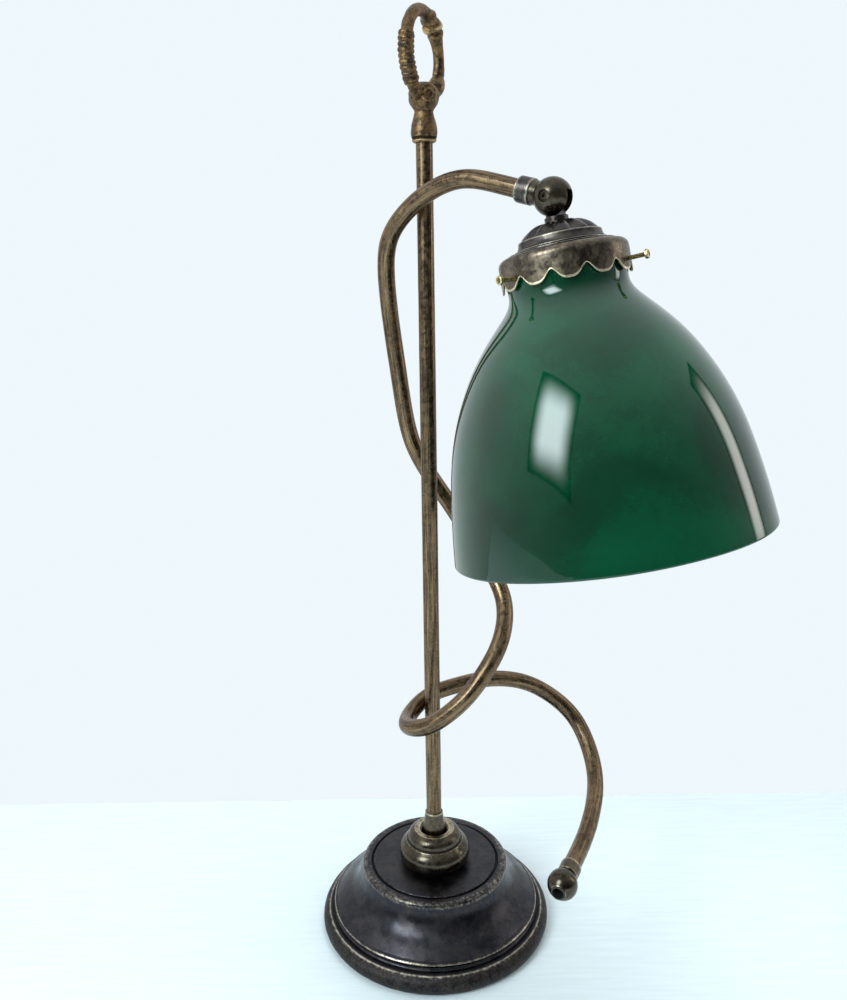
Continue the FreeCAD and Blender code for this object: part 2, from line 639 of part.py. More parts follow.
def knuckle_tongue():
    """Flat eye in the ball's slot, with a round hub that takes the nipple."""
    bore = PIVOT_DIAMETER / 2 + RUNNING_FIT
    across = Vector(1, 0, 0)
    eye = Part.makeCylinder(TONGUE_RADIUS, TONGUE_THICKNESS, across * (-TONGUE_THICKNESS / 2), across)
    stem = Part.makeBox(TONGUE_THICKNESS, STEM_WIDTH, KNUCKLE_RADIUS + 2.0,
                        Vector(-TONGUE_THICKNESS / 2, -STEM_WIDTH / 2, 0))
    hub = Part.makeCylinder(HUB_RADIUS, CAP_TOP - KNUCKLE_RADIUS - BODY_GAP,
                            Vector(0, 0, KNUCKLE_RADIUS + BODY_GAP))
    hole = Part.makeCylinder(bore, 4 * TONGUE_THICKNESS, across * (-2 * TONGUE_THICKNESS), across)
    thread = Part.makeCylinder(NIPPLE_DIAMETER / 2, 10, Vector(0, 0, CAP_TOP - 1.4))
    wire_way = Part.makeCylinder(1.8, 40, Vector(0, 0, 4.2))
    return hung(one_solid(eye.fuse([stem, hub]).cut(hole).cut(thread).cut(wire_way)))


def nipple():
    """Threaded tube that clamps the cap, the gallery and the lampholder to the tongue."""
    return hung(tube(NIPPLE_DIAMETER / 2, NIPPLE_BORE / 2, CAP_TOP - 1.4, GALLERY_TOP + 12.0))


def gallery_cap():
    """Domed cap with flutes, a plain band and a spreading flange."""
    top = CAP_TOP
    shell = turned(
        (NIPPLE_DIAMETER / 2, top), (NIPPLE_DIAMETER / 2 + 3, top),
        ((18.6, top + 2.6), (CAP_RADIUS - 3.4, top + 8.6)),
        (CAP_RADIUS - 2.0, top + 9.4), ((CAP_RADIUS - 1.4, top + 12.2), (CAP_RADIUS, top + 14.6)),
        (CAP_RADIUS + 1.2, top + 15.0), (CAP_RADIUS + 1.0, top + 15.8),
        (CAP_RADIUS + 6.4, GALLERY_TOP - 0.8), (CAP_RADIUS + 6.4, GALLERY_TOP),
        (CAP_RADIUS - 1.4, GALLERY_TOP), (CAP_RADIUS - 1.8, top + 14.6),
        ((CAP_RADIUS - 2.8, top + 12.2), (CAP_RADIUS - 4.4, top + 9.8)),
        ((17.6, top + 4.0), (NIPPLE_DIAMETER / 2 + 2.6, top + CAP_WALL)),
        (NIPPLE_DIAMETER / 2, top + CAP_WALL))
    grooves = []
    for i in range(CAP_FLUTES):
        groove = Part.makeCylinder(FLUTE_RADIUS, 30, Vector(0, 0, 0), Vector(1, 0, 0))
        groove.translate(Vector(NIPPLE_DIAMETER / 2 + 1, 0, 0))
        groove.rotate(Vector(0, 0, 0), Vector(0, 1, 0), FLUTE_SLOPE)
        groove.translate(Vector(0, 0, top - 4.4))
        groove.rotate(Vector(0, 0, 0), Z, (i + 0.5) * 360 / CAP_FLUTES)
        grooves.append(groove)
    cutter = Part.makeCylinder(CAP_RADIUS - 4.0, 20, Vector(0, 0, top - 12))
    return hung(one_solid(shell.cut(grooves[0].fuse(grooves[1:]).common(cutter))))


def gallery():
    """Shade holder: flat top, rounded shoulder and a wall that ends in scallops."""
    top = GALLERY_TOP
    outer = GALLERY_RADIUS
    inner = outer - GALLERY_WALL
    low = top + GALLERY_DEPTH
    wall = turned(
        (NIPPLE_DIAMETER / 2, top), (outer - SHOULDER_RADIUS, top),
        ((outer - SHOULDER_RADIUS * 0.293, top + SHOULDER_RADIUS * 0.293), (outer, top + SHOULDER_RADIUS)),
        (outer, low), (inner, low), (inner, top + SHOULDER_RADIUS),
        ((inner - SHOULDER_RADIUS * 0.293 + 0.3, top + SHOULDER_RADIUS * 0.293 + 0.8),
         (outer - SHOULDER_RADIUS, top + GALLERY_WALL)),
        (NIPPLE_DIAMETER / 2, top + GALLERY_WALL))
    pitch = math.pi * 2 * outer / GALLERY_SCALLOPS
    notches = []
    for i in range(GALLERY_SCALLOPS):
        angle = (i + 0.5) * 360 / GALLERY_SCALLOPS
        notch = scallop_gap(pitch, outer + 6, low)
        notch.rotate(Vector(0, 0, 0), Z, angle)
        notches.append(notch)
    wall = wall.cut(notches[0].fuse(notches[1:]))
    for i in range(SCREW_COUNT):
        wall = wall.cut(screw_hole(i))
    return hung(one_solid(wall))


def scallop_gap(pitch, reach, low):
    """Cutter between two round scallops: a cusp that is sharp at the bottom edge of each lobe."""
    half = pitch / 2
    top = low - SCALLOP_DEPTH
    left = Part.Arc(Vector(0, -half, low), Vector(0, -half * 0.5, low - SCALLOP_DEPTH * 0.24),
                    Vector(0, -half * 0.16, top + 0.4)).toShape()
    crown = Part.Arc(Vector(0, -half * 0.16, top + 0.4), Vector(0, 0, top),
                     Vector(0, half * 0.16, top + 0.4)).toShape()
    right = left.mirror(Vector(0, 0, 0), Vector(0, 1, 0))
    sides = [Part.LineSegment(Vector(0, half, low), Vector(0, half, low + 2)).toShape(),
             Part.LineSegment(Vector(0, half, low + 2), Vector(0, -half, low + 2)).toShape(),
             Part.LineSegment(Vector(0, -half, low + 2), Vector(0, -half, low)).toShape()]
    return Part.Face(Part.Wire([left, crown, right] + sides)).extrude(Vector(reach, 0, 0))


def screw_turn(index):
    """Angle of one gallery screw about the shade's axis."""
    return SCREW_FIRST_TURN + index * 360 / SCREW_COUNT


def screw_axis(index):
    """Level of the screws and the outward direction of one of them, in the head's own axes."""
    angle = math.radians(screw_turn(index))
    return Vector(0, 0, GALLERY_TOP + SCREW_DROP), Vector(math.cos(angle), math.sin(angle), 0)


def screw_hole(index):
    """Cutter for a screw's hole in the gallery's wall, with running clearance."""
    origin, outward = screw_axis(index)
    start = origin + outward * (GALLERY_RADIUS - SCREW_LENGTH / 2)
    return Part.makeCylinder(SCREW_DIAMETER / 2 + RUNNING_FIT, SCREW_LENGTH, start, outward)


def gallery_screw(index):
    """Thumbscrew with a small drum head; its point stops just short of the shade's neck."""
    origin, outward = screw_axis(index)
    tip = NECK_RADIUS + BODY_GAP
    head = tip + SCREW_LENGTH
    screw = turned((0, tip), (SCREW_DIAMETER / 2 - 0.7, tip), (SCREW_DIAMETER / 2, tip + 0.9),
                   (SCREW_DIAMETER / 2, head), (SCREW_HEAD_DIAMETER / 2 - 0.6, head),
                   (SCREW_HEAD_DIAMETER / 2, head + 0.6),
                   (SCREW_HEAD_DIAMETER / 2, head + SCREW_HEAD_LENGTH - 0.6),
                   (SCREW_HEAD_DIAMETER / 2 - 0.6, head + SCREW_HEAD_LENGTH), (0, head + SCREW_HEAD_LENGTH))
    return hung(placed(screw, origin, outward, Z * -1))


# ================================================================ shade
def shade_layers():
    """Outer green layer and inner opal layer of the cased glass."""
    top = SHADE_TOP
    low = SHADE_BOTTOM
    neck_low = GALLERY_TOP + GALLERY_DEPTH + 4.0

    def profile(offset, lip):
        """Points of one face of the glass, moved in by the offset."""
        neck = NECK_RADIUS - offset
        return [(neck + lip, top + 3.0), (neck, top + 4.4), (neck, neck_low),
                ((NECK_RADIUS + 1.6 - offset, neck_low + 4.6),
                 (NECK_RADIUS + 7.6 - offset * 0.86, neck_low + 12.4)),
                ((SHADE_RADIUS - 36.6 - offset * 0.78, neck_low + 36.0),
                 (SHADE_RADIUS - 16.6 - offset * 0.93, neck_low + 74.0)),
                ((SHADE_RADIUS - 5.6 - offset, neck_low + 118.0), (SHADE_RADIUS - offset, low - 1.0))]

    outside = profile(0, NECK_LIP)
    between = profile(GREEN_WALL, NECK_LIP)
    inside = profile(GREEN_WALL + OPAL_WALL, NECK_LIP)
    green = filled(outside, top, low).cut(filled(between, top - 1, low + 1))
    opal = filled(between, top, low).cut(filled(inside, top - 1, low + 1))
    return one_solid(green), one_solid(opal)


def filled(profile, top, low):
    """Solid inside one face of the glass, closed flat at the top and the bottom."""
    return turned((0, top), (profile[0][0], top), *profile, (profile[-1][1][0], low), (0, low))


def lampholder_cap():
    """Domed metal cap of the lampholder, screwed on the nipple."""
    low = GALLERY_TOP + GALLERY_WALL
    radius = HOLDER_DIAMETER / 2
    return hung(turned((NIPPLE_DIAMETER / 2, low), (NIPPLE_DIAMETER / 2 + 4, low),
                       ((radius - 3.4, low + 3.0), (radius, low + 10.0)), (radius, low + 14.0),
                       (radius - 1.0, low + 14.0), (radius - 1.0, low + 10.4),
                       ((radius - 4.4, low + 4.0), (NIPPLE_DIAMETER / 2 + 3.6, low + 1.2)),
                       (NIPPLE_DIAMETER / 2, low + 1.2)))


def holder_top():
    """Distance down the axis to the top of the lampholder's barrel."""
    return GALLERY_TOP + GALLERY_WALL + 14.0


def nipple_nut():
    """Hexagon nut on the nipple, inside the lampholder's cap."""
    low = GALLERY_TOP + GALLERY_WALL + 1.2
    return hung(hexagon(14.0, low, low + 3.0, NIPPLE_DIAMETER / 2))


def lampholder_barrel():
    """Outer metal barrel of the lampholder."""
    radius = HOLDER_DIAMETER / 2
    return hung(tube(radius, radius - HOLDER_WALL, holder_top(), holder_top() + HOLDER_LENGTH))


def lampholder_insulator():
    """Moulded insulator with a floor for the contacts."""
    low = holder_top() + 3.0
    radius = HOLDER_DIAMETER / 2 - HOLDER_WALL
    return hung(turned((2.0, low), (radius, low), (radius, holder_top() + HOLDER_LENGTH),
                       (radius - 2.4, holder_top() + HOLDER_LENGTH),
                       (radius - 2.4, low + 6.0), (2.0, low + 6.0)))


def screw_shell():
    """Threaded brass shell that the bulb's cap screws into."""
    low = holder_top() + 9.0
    return hung(tube(HOLDER_DIAMETER / 2 - 3.4, BULB_CAP_RADIUS + 0.2, low, low + 22.0))


def centre_contact():
    """Sprung contact strip at the bottom of the holder, bent up under the bulb's tip."""
    low = holder_top() + 9.0
    strip = Part.makeBox(14.0, 5.0, 0.6, Vector(-10.0, -2.5, low))
    rise = Part.makeBox(0.6, 5.0, 1.8, Vector(3.4, -2.5, low))
    tab = Part.makeBox(7.0, 5.0, 0.6, Vector(-3.0, -2.5, low + 1.8))
    return hung(one_solid(strip.fuse([rise, tab])))


def bulb_seat():
    """Distance down the axis to the bulb's contact tip."""
    return holder_top() + 9.0 + 2.4


def bulb_cap():
    """Screw cap of the bulb, with its contact button."""
    low = bulb_seat()
    return hung(turned((0, low), (3.6, low), (5.0, low + 1.6), (BULB_CAP_RADIUS - 2, low + 4.0),
                       (BULB_CAP_RADIUS, low + 5.4), (BULB_CAP_RADIUS, low + 26.0), (0, low + 26.0)))


def bulb_glass():
    """Hollow glass envelope, from the cap to a round end."""
    low = bulb_seat() + 26.0
    centre = BULB_CENTRE
    outer = bulb_envelope(low, centre, 0)
    inner = bulb_envelope(low + BULB_WALL, centre, BULB_WALL)
    return hung(one_solid(outer.cut(inner)))


def bulb_envelope(low, centre, offset):
    """Solid within the envelope's face, moved in by the offset."""
    radius = BULB_RADIUS - offset
    neck = BULB_NECK_RADIUS - offset
    join = centre - radius * 0.6
    return turned((0, low), (neck, low), (neck, low + 4),
                  ((neck + 3.2, (low + join) / 2 + 4), (radius * 0.8, join)),
                  ((radius, centre), (0, centre + radius)))


def head_leads():
    """Two insulated leads inside the nipple, from the tongue's wire way to the lampholder."""
    start = CAP_TOP + 1.0
    end = holder_top() + 3.0
    return hung(Part.makeCompound([Part.makeCylinder(1.3, end - start, Vector(0, side * 1.55, start))
                                   for side in (-1, 1)]))


# ================================================================ build
def main():
    """Build every piece and write it."""
    os.makedirs("parts", exist_ok=True)
    green, opal = shade_layers()
    pieces = {
        "base_shell": base_shell(), "base_weight": base_weight(), "base_felt": base_felt(),
        "base_cup": base_cup(), "base_stud": base_stud(), "lower_nut": lower_nut(),
        "lower_washer": lower_washer(), "cup_nut": cup_nut(), "thrust_washer": thrust_washer(),
        "post": post(), "ferrule": ferrule(), "finial_collar": finial_collar(),
        "finial_head": finial_head(), "handle_ring": handle_ring(),
        "arm_tube": arm_tube(), "arm_flex": arm_flex(), "arm_coupling": arm_coupling(),
        "knuckle_ball": knuckle_ball(), "pivot_pin": pivot_pin(), "pivot_nut": pivot_nut(),
        "end_coupling": end_coupling(), "end_ball": end_ball(), "inlet_bush": inlet_bush(),
        "knuckle_tongue": knuckle_tongue(), "nipple": nipple(), "gallery_cap": gallery_cap(),
        "gallery": gallery(), "shade_glass": hung(green), "shade_lining": hung(opal),
        "lampholder_cap": lampholder_cap(), "nipple_nut": nipple_nut(),
        "lampholder_barrel": lampholder_barrel(), "lampholder_insulator": lampholder_insulator(),
        "screw_shell": screw_shell(), "centre_contact": centre_contact(),
        "bulb_cap": bulb_cap(), "bulb_glass": bulb_glass(), "head_leads": head_leads(),
    }
    for index in range(SCREW_COUNT):
        pieces["gallery_screw_%d" % (index + 1)] = gallery_screw(index)
    for node, shape in pieces.items():
        save(node, shape)
    print(len(pieces), "pieces")


main()
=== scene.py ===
"""Looks of an adjustable desk lamp with a cased green glass shade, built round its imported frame.

Lengths in the dataclasses are millimetres, as on a workshop drawing; meshes are in metres in the
frame's own axes. A turned piece is an outline carried round an axis, a tube is a ring carried along a
path, and both are worked out as whole grids of points.
"""
import json
import logging
import math
from dataclasses import dataclass, field
from enum import Enum
from typing import Callable, Sequence

import bmesh
import bpy
import numpy as np
from mathutils import Matrix, Vector


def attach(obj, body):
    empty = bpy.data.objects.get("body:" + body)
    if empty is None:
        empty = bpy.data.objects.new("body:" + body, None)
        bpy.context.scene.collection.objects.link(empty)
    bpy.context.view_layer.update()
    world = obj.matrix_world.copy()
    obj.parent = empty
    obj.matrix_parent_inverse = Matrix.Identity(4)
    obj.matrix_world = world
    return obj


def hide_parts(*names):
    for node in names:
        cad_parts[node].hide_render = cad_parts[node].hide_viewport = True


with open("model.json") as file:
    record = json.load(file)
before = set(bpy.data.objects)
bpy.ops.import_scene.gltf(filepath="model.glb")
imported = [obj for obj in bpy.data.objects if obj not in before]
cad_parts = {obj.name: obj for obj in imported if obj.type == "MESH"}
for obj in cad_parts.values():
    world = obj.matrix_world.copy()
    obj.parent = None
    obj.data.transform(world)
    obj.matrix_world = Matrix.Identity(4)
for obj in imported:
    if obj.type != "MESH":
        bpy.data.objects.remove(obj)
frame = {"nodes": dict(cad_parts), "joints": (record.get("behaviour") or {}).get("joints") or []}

MM = 0.001
FULL_TURN = 2.0 * math.pi
LOG = logging.getLogger("lamp")


class Body(str, Enum):
    """Bodies of the frame that pieces ride on."""

    BASE = "base"
    COLUMN = "column"
    ARM = "arm"
    HEAD = "head"


# ============================================================ geometry
@dataclass(frozen=True)
class Axes:
    """A local frame: an origin in metres and three unit directions, z being a turned piece's axis."""

    origin: np.ndarray
    x: np.ndarray
    y: np.ndarray
    z: np.ndarray

    @staticmethod
    def along(origin: Sequence[float], z: Sequence[float], towards: Sequence[float] = (0.0, 0.0, 1.0)) -> "Axes":
        """Axes with z along a direction and x as near as possible to another.

        Args:
            origin: Point in metres.
            z: Direction of the axis.
            towards: Direction that x leans to.

        Returns:
            Right-handed axes.
        """
        axis = np.asarray(z, float) / np.linalg.norm(z)
        side = np.asarray(towards, float)
        side = side - axis * (side @ axis)
        side = side / np.linalg.norm(side)
        return Axes(np.asarray(origin, float), side, np.cross(axis, side), axis)

    def place(self, points: np.ndarray) -> np.ndarray:
        """Points from local millimetres to the frame's metres."""
        local = np.asarray(points, float) * MM
        return self.origin + local[..., 0:1] * self.x + local[..., 1:2] * self.y + local[..., 2:3] * self.z


UPRIGHT = Axes(np.zeros(3), np.array([1.0, 0, 0]), np.array([0, 1.0, 0]), np.array([0, 0, 1.0]))


@dataclass(frozen=True)
class Corner:
    """A corner of an outline: radius and height, its rounding, and how far it is worn bright (below 0: darkened in its
    recess as dirt and painted shade).
    """

    radius: float
    height: float
    rounding: float = 0.4
    worn: float = 0.0


def bow(start: Sequence[float], middle: Sequence[float], end: Sequence[float], worn: float = 0.0,
        count: int = 10) -> list[Corner]:
    """Corners along the circle's arc through three points, ends included.

    The circle's centre is where the perpendicular bisectors of the two chords cross.

    Args:
        start: First radius and height.
        middle: A radius and height on the arc.
        end: Last radius and height.
        worn: Wear along the arc.
        count: How many corners.

    Returns:
        The corners.
    """
    a, b, c = (np.asarray(point, float) for point in (start, middle, end))
    system = 2 * np.array([b - a, c - a])
    centre = np.linalg.solve(system, [b @ b - a @ a, c @ c - a @ a])
    first, way, last = (math.atan2(*(point - centre)[::-1]) for point in (a, b, c))
    way, last = (way - first) % FULL_TURN, (last - first) % FULL_TURN
    if way > last:
        last -= FULL_TURN
    angle = first + np.linspace(0, last, count)
    size = float(np.linalg.norm(a - centre))
    return [Corner(centre[0] + size * math.cos(t), centre[1] + size * math.sin(t), 0.0, worn) for t in angle]


@dataclass(frozen=True)
class Trace:
    """An outline sampled to points: radii, heights, wear (below 0: dirt and painted shade) and distance along it, in
    millimetres.
    """

    radius: np.ndarray
    height: np.ndarray
    worn: np.ndarray
    length: np.ndarray
    closed: bool


def trace(corners: Sequence[Corner], closed: bool = False, steps: int = 6, spacing: float = 2.5,
          spread: float = 1.1) -> Trace:
    """Sample an outline, each corner replaced by a tangent arc.

    The arc at a corner has the corner's rounding as its radius, cut to what its two sides leave; straight
    stretches are divided evenly. Wear is the strongest of the corners' values, each falling off as a
    bell curve of the distance from its arc.

    Args:
        corners: Corners in order.
        closed: Whether the last corner joins the first.
        steps: Points on each arc.
        spacing: Longest straight step in millimetres.
        spread: Width of the wear's bell curve in millimetres.

    Returns:
        The sampled outline.
    """
    points = np.array([(c.radius, c.height) for c in corners], float)
    count = len(points)
    arcs: list[np.ndarray] = []
    for index, corner in enumerate(corners):
        ends = not closed and index in (0, count - 1)
        before, after = points[index - 1] - points[index], points[(index + 1) % count] - points[index]
        if ends or corner.rounding <= 0:
            arcs.append(points[index:index + 1])
            continue
        long_before, long_after = np.linalg.norm(before), np.linalg.norm(after)
        back, ahead = before / long_before, after / long_after
        turn = math.pi - math.acos(float(np.clip(back @ ahead, -1, 1)))
        if turn < 1e-3:
            arcs.append(points[index:index + 1])
            continue
        reach = min(corner.rounding * math.tan(turn / 2), 0.49 * long_before, 0.49 * long_after)
        radius = reach / math.tan(turn / 2)
        middle = back + ahead
        centre = points[index] + middle / np.linalg.norm(middle) * radius / math.cos(turn / 2)
        start = points[index] + back * reach - centre
        sense = math.copysign(1.0, -back[0] * ahead[1] + back[1] * ahead[0])
        angles = np.linspace(0.0, turn, steps + int(turn * radius / spacing)) * sense
        cos, sin = np.cos(angles), np.sin(angles)
        arcs.append(centre + np.stack([start[0] * cos - start[1] * sin, start[0] * sin + start[1] * cos], -1))
    corner_is_plain = [corner.rounding <= 0 for corner in corners]
    stretch: list[np.ndarray] = []
    marks: list[int] = []
    total = 0
    for index, arc in enumerate(arcs):
        stretch.append(arc)
        marks.append(total + len(arc) // 2)
        total += len(arc)
        if index + 1 < count or closed:
            start, end = arc[-1], arcs[(index + 1) % count][0]
            gap = float(np.linalg.norm(end - start))
            inner = np.linspace(0, 1, max(1, int(gap / spacing)) + 1)[1:-1]
            guard = min(0.3, 0.25 * gap) / max(gap, 1e-9)
            plain = corner_is_plain[index] and corner_is_plain[(index + 1) % count]
            inner = np.unique(np.concatenate([inner, [guard, 1 - guard]])) if gap > 0.2 and not plain else inner
            stretch.append(start + (end - start) * inner[:, None])
            total += len(inner)
    path = np.concatenate(stretch)
    length = np.concatenate([[0.0], np.cumsum(np.linalg.norm(np.diff(path, axis=0), axis=1))])
    worn = np.array([c.worn for c in corners])
    half = np.array([0.5 * float(np.linalg.norm(arc[-1] - arc[0])) for arc in arcs])
    away = np.abs(length[:, None] - length[np.array(marks)][None, :])
    if closed:
        whole = length[-1] + float(np.linalg.norm(path[-1] - path[0]))
        away = np.minimum(away, whole - away)
    bell = worn * np.exp(-(np.clip(away - half, 0, None) / spread) ** 2)
    strongest = bell[np.arange(len(path)), np.abs(bell).argmax(1)]
    return Trace(path[:, 0], path[:, 1], strongest, length, closed)


@dataclass
class Skin:
    """A grid of points in metres: rows run along a piece and columns go once round it."""

    points: np.ndarray
    worn: np.ndarray
    along: np.ndarray
    closed: bool = False


def turned(outline: Trace, axes: Axes = UPRIGHT, columns: int = 128,
           shape: Callable[[np.ndarray, np.ndarray, np.ndarray], tuple[np.ndarray, np.ndarray]] | None = None) -> Skin:
    """Carry an outline round an axis.

    A point is (r cos t, r sin t, h) for each sampled radius r and height h and each angle t; a shape may
    first change r and h as functions of r, h and t, as for flutes and scallops.

    Args:
        outline: Sampled outline.
        axes: Where the piece stands.
        columns: Points round the axis.
        shape: Optional change of radius and height over the grid.

    Returns:
        The grid of points.
    """
    angle = np.linspace(0, FULL_TURN, columns, endpoint=False)
    radius, turn = np.meshgrid(outline.radius, angle, indexing="ij")
    height = np.repeat(outline.height[:, None], columns, 1)
    if shape is not None:
        radius, height = shape(radius, height, turn)
    local = np.stack([radius * np.cos(turn), radius * np.sin(turn), height], -1)
    worn = np.repeat(outline.worn[:, None], columns, 1)
    return Skin(axes.place(local), worn, outline.length * MM, outline.closed)


def carried(path: np.ndarray, radius: np.ndarray | float, columns: int = 40, closed: bool = False,
            worn: np.ndarray | float = 0.0) -> Skin:
    """Carry a ring along a path.

    Each ring lies in the plane across the path, turned as little as possible from the ring before it.

    Args:
        path: Points in metres.
        radius: Radius in millimetres, one for all or one for each point, or a grid of them.
        columns: Points round the ring.
        closed: Whether the path closes on itself.
        worn: Wear, one for all or one for each point, or a grid.

    Returns:
        The grid of points.
    """
    rows = len(path)
    tangent = (np.roll(path, -1, 0) - np.roll(path, 1, 0)) if closed else np.gradient(path, axis=0)
    tangent /= np.linalg.norm(tangent, axis=1, keepdims=True)
    side = np.empty_like(path)
    first = np.cross(tangent[0], [0.0, 0.0, 1.0])
    side[0] = first / np.linalg.norm(first) if np.linalg.norm(first) > 1e-3 else [1.0, 0.0, 0.0]
    for row in range(1, rows):
        flat = side[row - 1] - tangent[row] * (side[row - 1] @ tangent[row])
        side[row] = flat / np.linalg.norm(flat)
    across = np.cross(tangent, side)
    angle = np.linspace(0, FULL_TURN, columns, endpoint=False)
    size = np.broadcast_to(np.asarray(radius, float).reshape(-1, 1) if np.ndim(radius) == 1 else radius,
                           (rows, columns)) * MM
    ring = side[:, None] * np.cos(angle)[None, :, None] + across[:, None] * np.sin(angle)[None, :, None]
    wear = np.broadcast_to(np.asarray(worn, float).reshape(-1, 1) if np.ndim(worn) == 1 else worn, (rows, columns))
    along = np.concatenate([[0.0], np.cumsum(np.linalg.norm(np.diff(path, axis=0), axis=1))])
    return Skin(path[:, None] + ring * size[..., None], np.array(wear), along, closed)


def bend_points(points: np.ndarray, share: float) -> np.ndarray:
    """Points that a bent tube's centreline passes: the ends, the middles of its runs and its bends' tops.

    A bend takes up a share of the shorter of its two runs, and its top lies on the line from the corner
    to the bend's centre, a radius short of that centre.

    Args:
        points: Corners of the route.
        share: Share of the shorter run that each bend takes up.

    Returns:
        Points in order along the tube.
    """
    before, corner, after = points[:-2], points[1:-1], points[2:]
    back, ahead = before - corner, after - corner
    long_back, long_ahead = (np.linalg.norm(v, axis=1, keepdims=True) for v in (back, ahead))
    back, ahead = back / long_back, ahead / long_ahead
    turn = math.pi - np.arccos(np.clip((back * ahead).sum(1, keepdims=True), -1, 1))
    reach = share * np.minimum(long_back, long_ahead)
    radius = reach / np.tan(turn / 2)
    middle = back + ahead
    middle /= np.linalg.norm(middle, axis=1, keepdims=True)
    tops = corner + middle * (radius / np.cos(turn / 2) - radius)
    runs = (corner[:-1] + ahead[:-1] * reach[:-1] + corner[1:] + back[1:] * reach[1:]) / 2
    between = np.empty((len(tops) + len(runs), 3))
    between[0::2], between[1::2] = tops, runs
    first = points[0] + (corner[0] + back[0] * reach[0] - points[0]) * np.array([[0.0], [0.5], [0.95]])
    last = points[-1] + (corner[-1] + ahead[-1] * reach[-1] - points[-1]) * np.array([[0.95], [0.5], [0.0]])
    return np.concatenate([first, between, last])


def flowing(points: np.ndarray, spacing: float) -> np.ndarray:
    """Natural cubic curve through points, evenly sampled.

    The curve's second derivatives at the points solve one tridiagonal system, with zero at both ends, and
    each span is the cubic that they and the points fix.

    Args:
        points: Points to pass, in metres.
        spacing: Distance between samples.

    Returns:
        Sampled points.
    """
    chord = np.linalg.norm(np.diff(points, axis=0), axis=1)
    knots = np.concatenate([[0.0], np.cumsum(chord)])
    count = len(points)
    system = np.eye(count)
    right = np.zeros((count, 3))
    inner = np.arange(1, count - 1)
    system[inner, inner - 1] = chord[:-1]
    system[inner, inner] = 2 * (chord[:-1] + chord[1:])
    system[inner, inner + 1] = chord[1:]
    slope = np.diff(points, axis=0) / chord[:, None]
    right[1:-1] = 6 * np.diff(slope, axis=0)
    second = np.linalg.solve(system, right)
    place = np.linspace(0, knots[-1], int(knots[-1] / spacing) + 1)
    span = np.clip(np.searchsorted(knots, place, side="right") - 1, 0, count - 2)
    step = chord[span][:, None]
    high, low = (place - knots[span])[:, None], (knots[span + 1] - place)[:, None]
    return (second[span] * low ** 3 + second[span + 1] * high ** 3) / (6 * step) \
        + (points[span] / step - second[span] * step / 6) * low \
        + (points[span + 1] / step - second[span + 1] * step / 6) * high


def rumple(points: np.ndarray, size: float, seed: int) -> np.ndarray:
    """Smooth uneven value between about -1 and 1 at each point.

    It is the mean of twelve sine waves in directions drawn once from a seed, with wavelengths from one
    to two times the size.

    Args:
        points: Points in metres.
        size: Shortest wavelength in millimetres.
        seed: Seed of the directions and phases.

    Returns:
        One value for each point.
    """
    draw = np.random.default_rng(seed)
    direction = draw.normal(size=(12, 3))
    direction /= np.linalg.norm(direction, axis=1, keepdims=True)
    waves = FULL_TURN / (size * MM * draw.uniform(1.0, 2.0, (12, 1))) * direction
    return np.sin(points @ waves.T + draw.uniform(0, FULL_TURN, 12)).sum(-1) / 4.0


def roughened(skin: Skin, depth: float, size: float, seed: int) -> Skin:
    """Skin with its points moved along their normals by an uneven amount.

    The normal at a point is the cross product of the grid's two central differences there.

    Args:
        skin: The grid to change.
        depth: Largest move in millimetres.
        size: Wavelength of the unevenness in millimetres.
        seed: Seed of the pattern.

    Returns:
        The changed grid.
    """
    points = skin.points
    down = np.roll(points, -1, 0) - np.roll(points, 1, 0) if skin.closed else np.gradient(points, axis=0)
    round_ = np.roll(points, -1, 1) - np.roll(points, 1, 1)
    normal = np.cross(down, round_)
    normal /= np.linalg.norm(normal, axis=-1, keepdims=True) + 1e-12
    moved = points + normal * (rumple(points, size, seed) * depth * MM)[..., None]
    return Skin(moved, skin.worn, skin.along, skin.closed)


def faces_of(skin: Skin, offset: int) -> tuple[np.ndarray, np.ndarray]:
    """Quads of a skin and the map coordinates of their corners."""
    rows, columns = skin.points.shape[:2]
    row = np.arange(rows if skin.closed else rows - 1)
    row, column = np.meshgrid(row, np.arange(columns), indexing="ij")
    below, beside = (row + 1) % rows, (column + 1) % columns
    quads = np.stack([row * columns + column, row * columns + beside, below * columns + beside,
                      below * columns + column], -1).reshape(-1, 4) + offset
    step = float(np.linalg.norm(skin.points[-1, 0] - skin.points[0, 0]))
    along = np.concatenate([skin.along, [skin.along[-1] + step]])
    around = np.linspace(0, 1, columns + 1)
    chart = np.stack([
        np.stack([around[column], around[column + 1], around[column + 1], around[column]], -1),
        np.stack([along[row], along[row], along[row + 1], along[row + 1]], -1)], -1)
    return quads, chart.reshape(-1, 2)


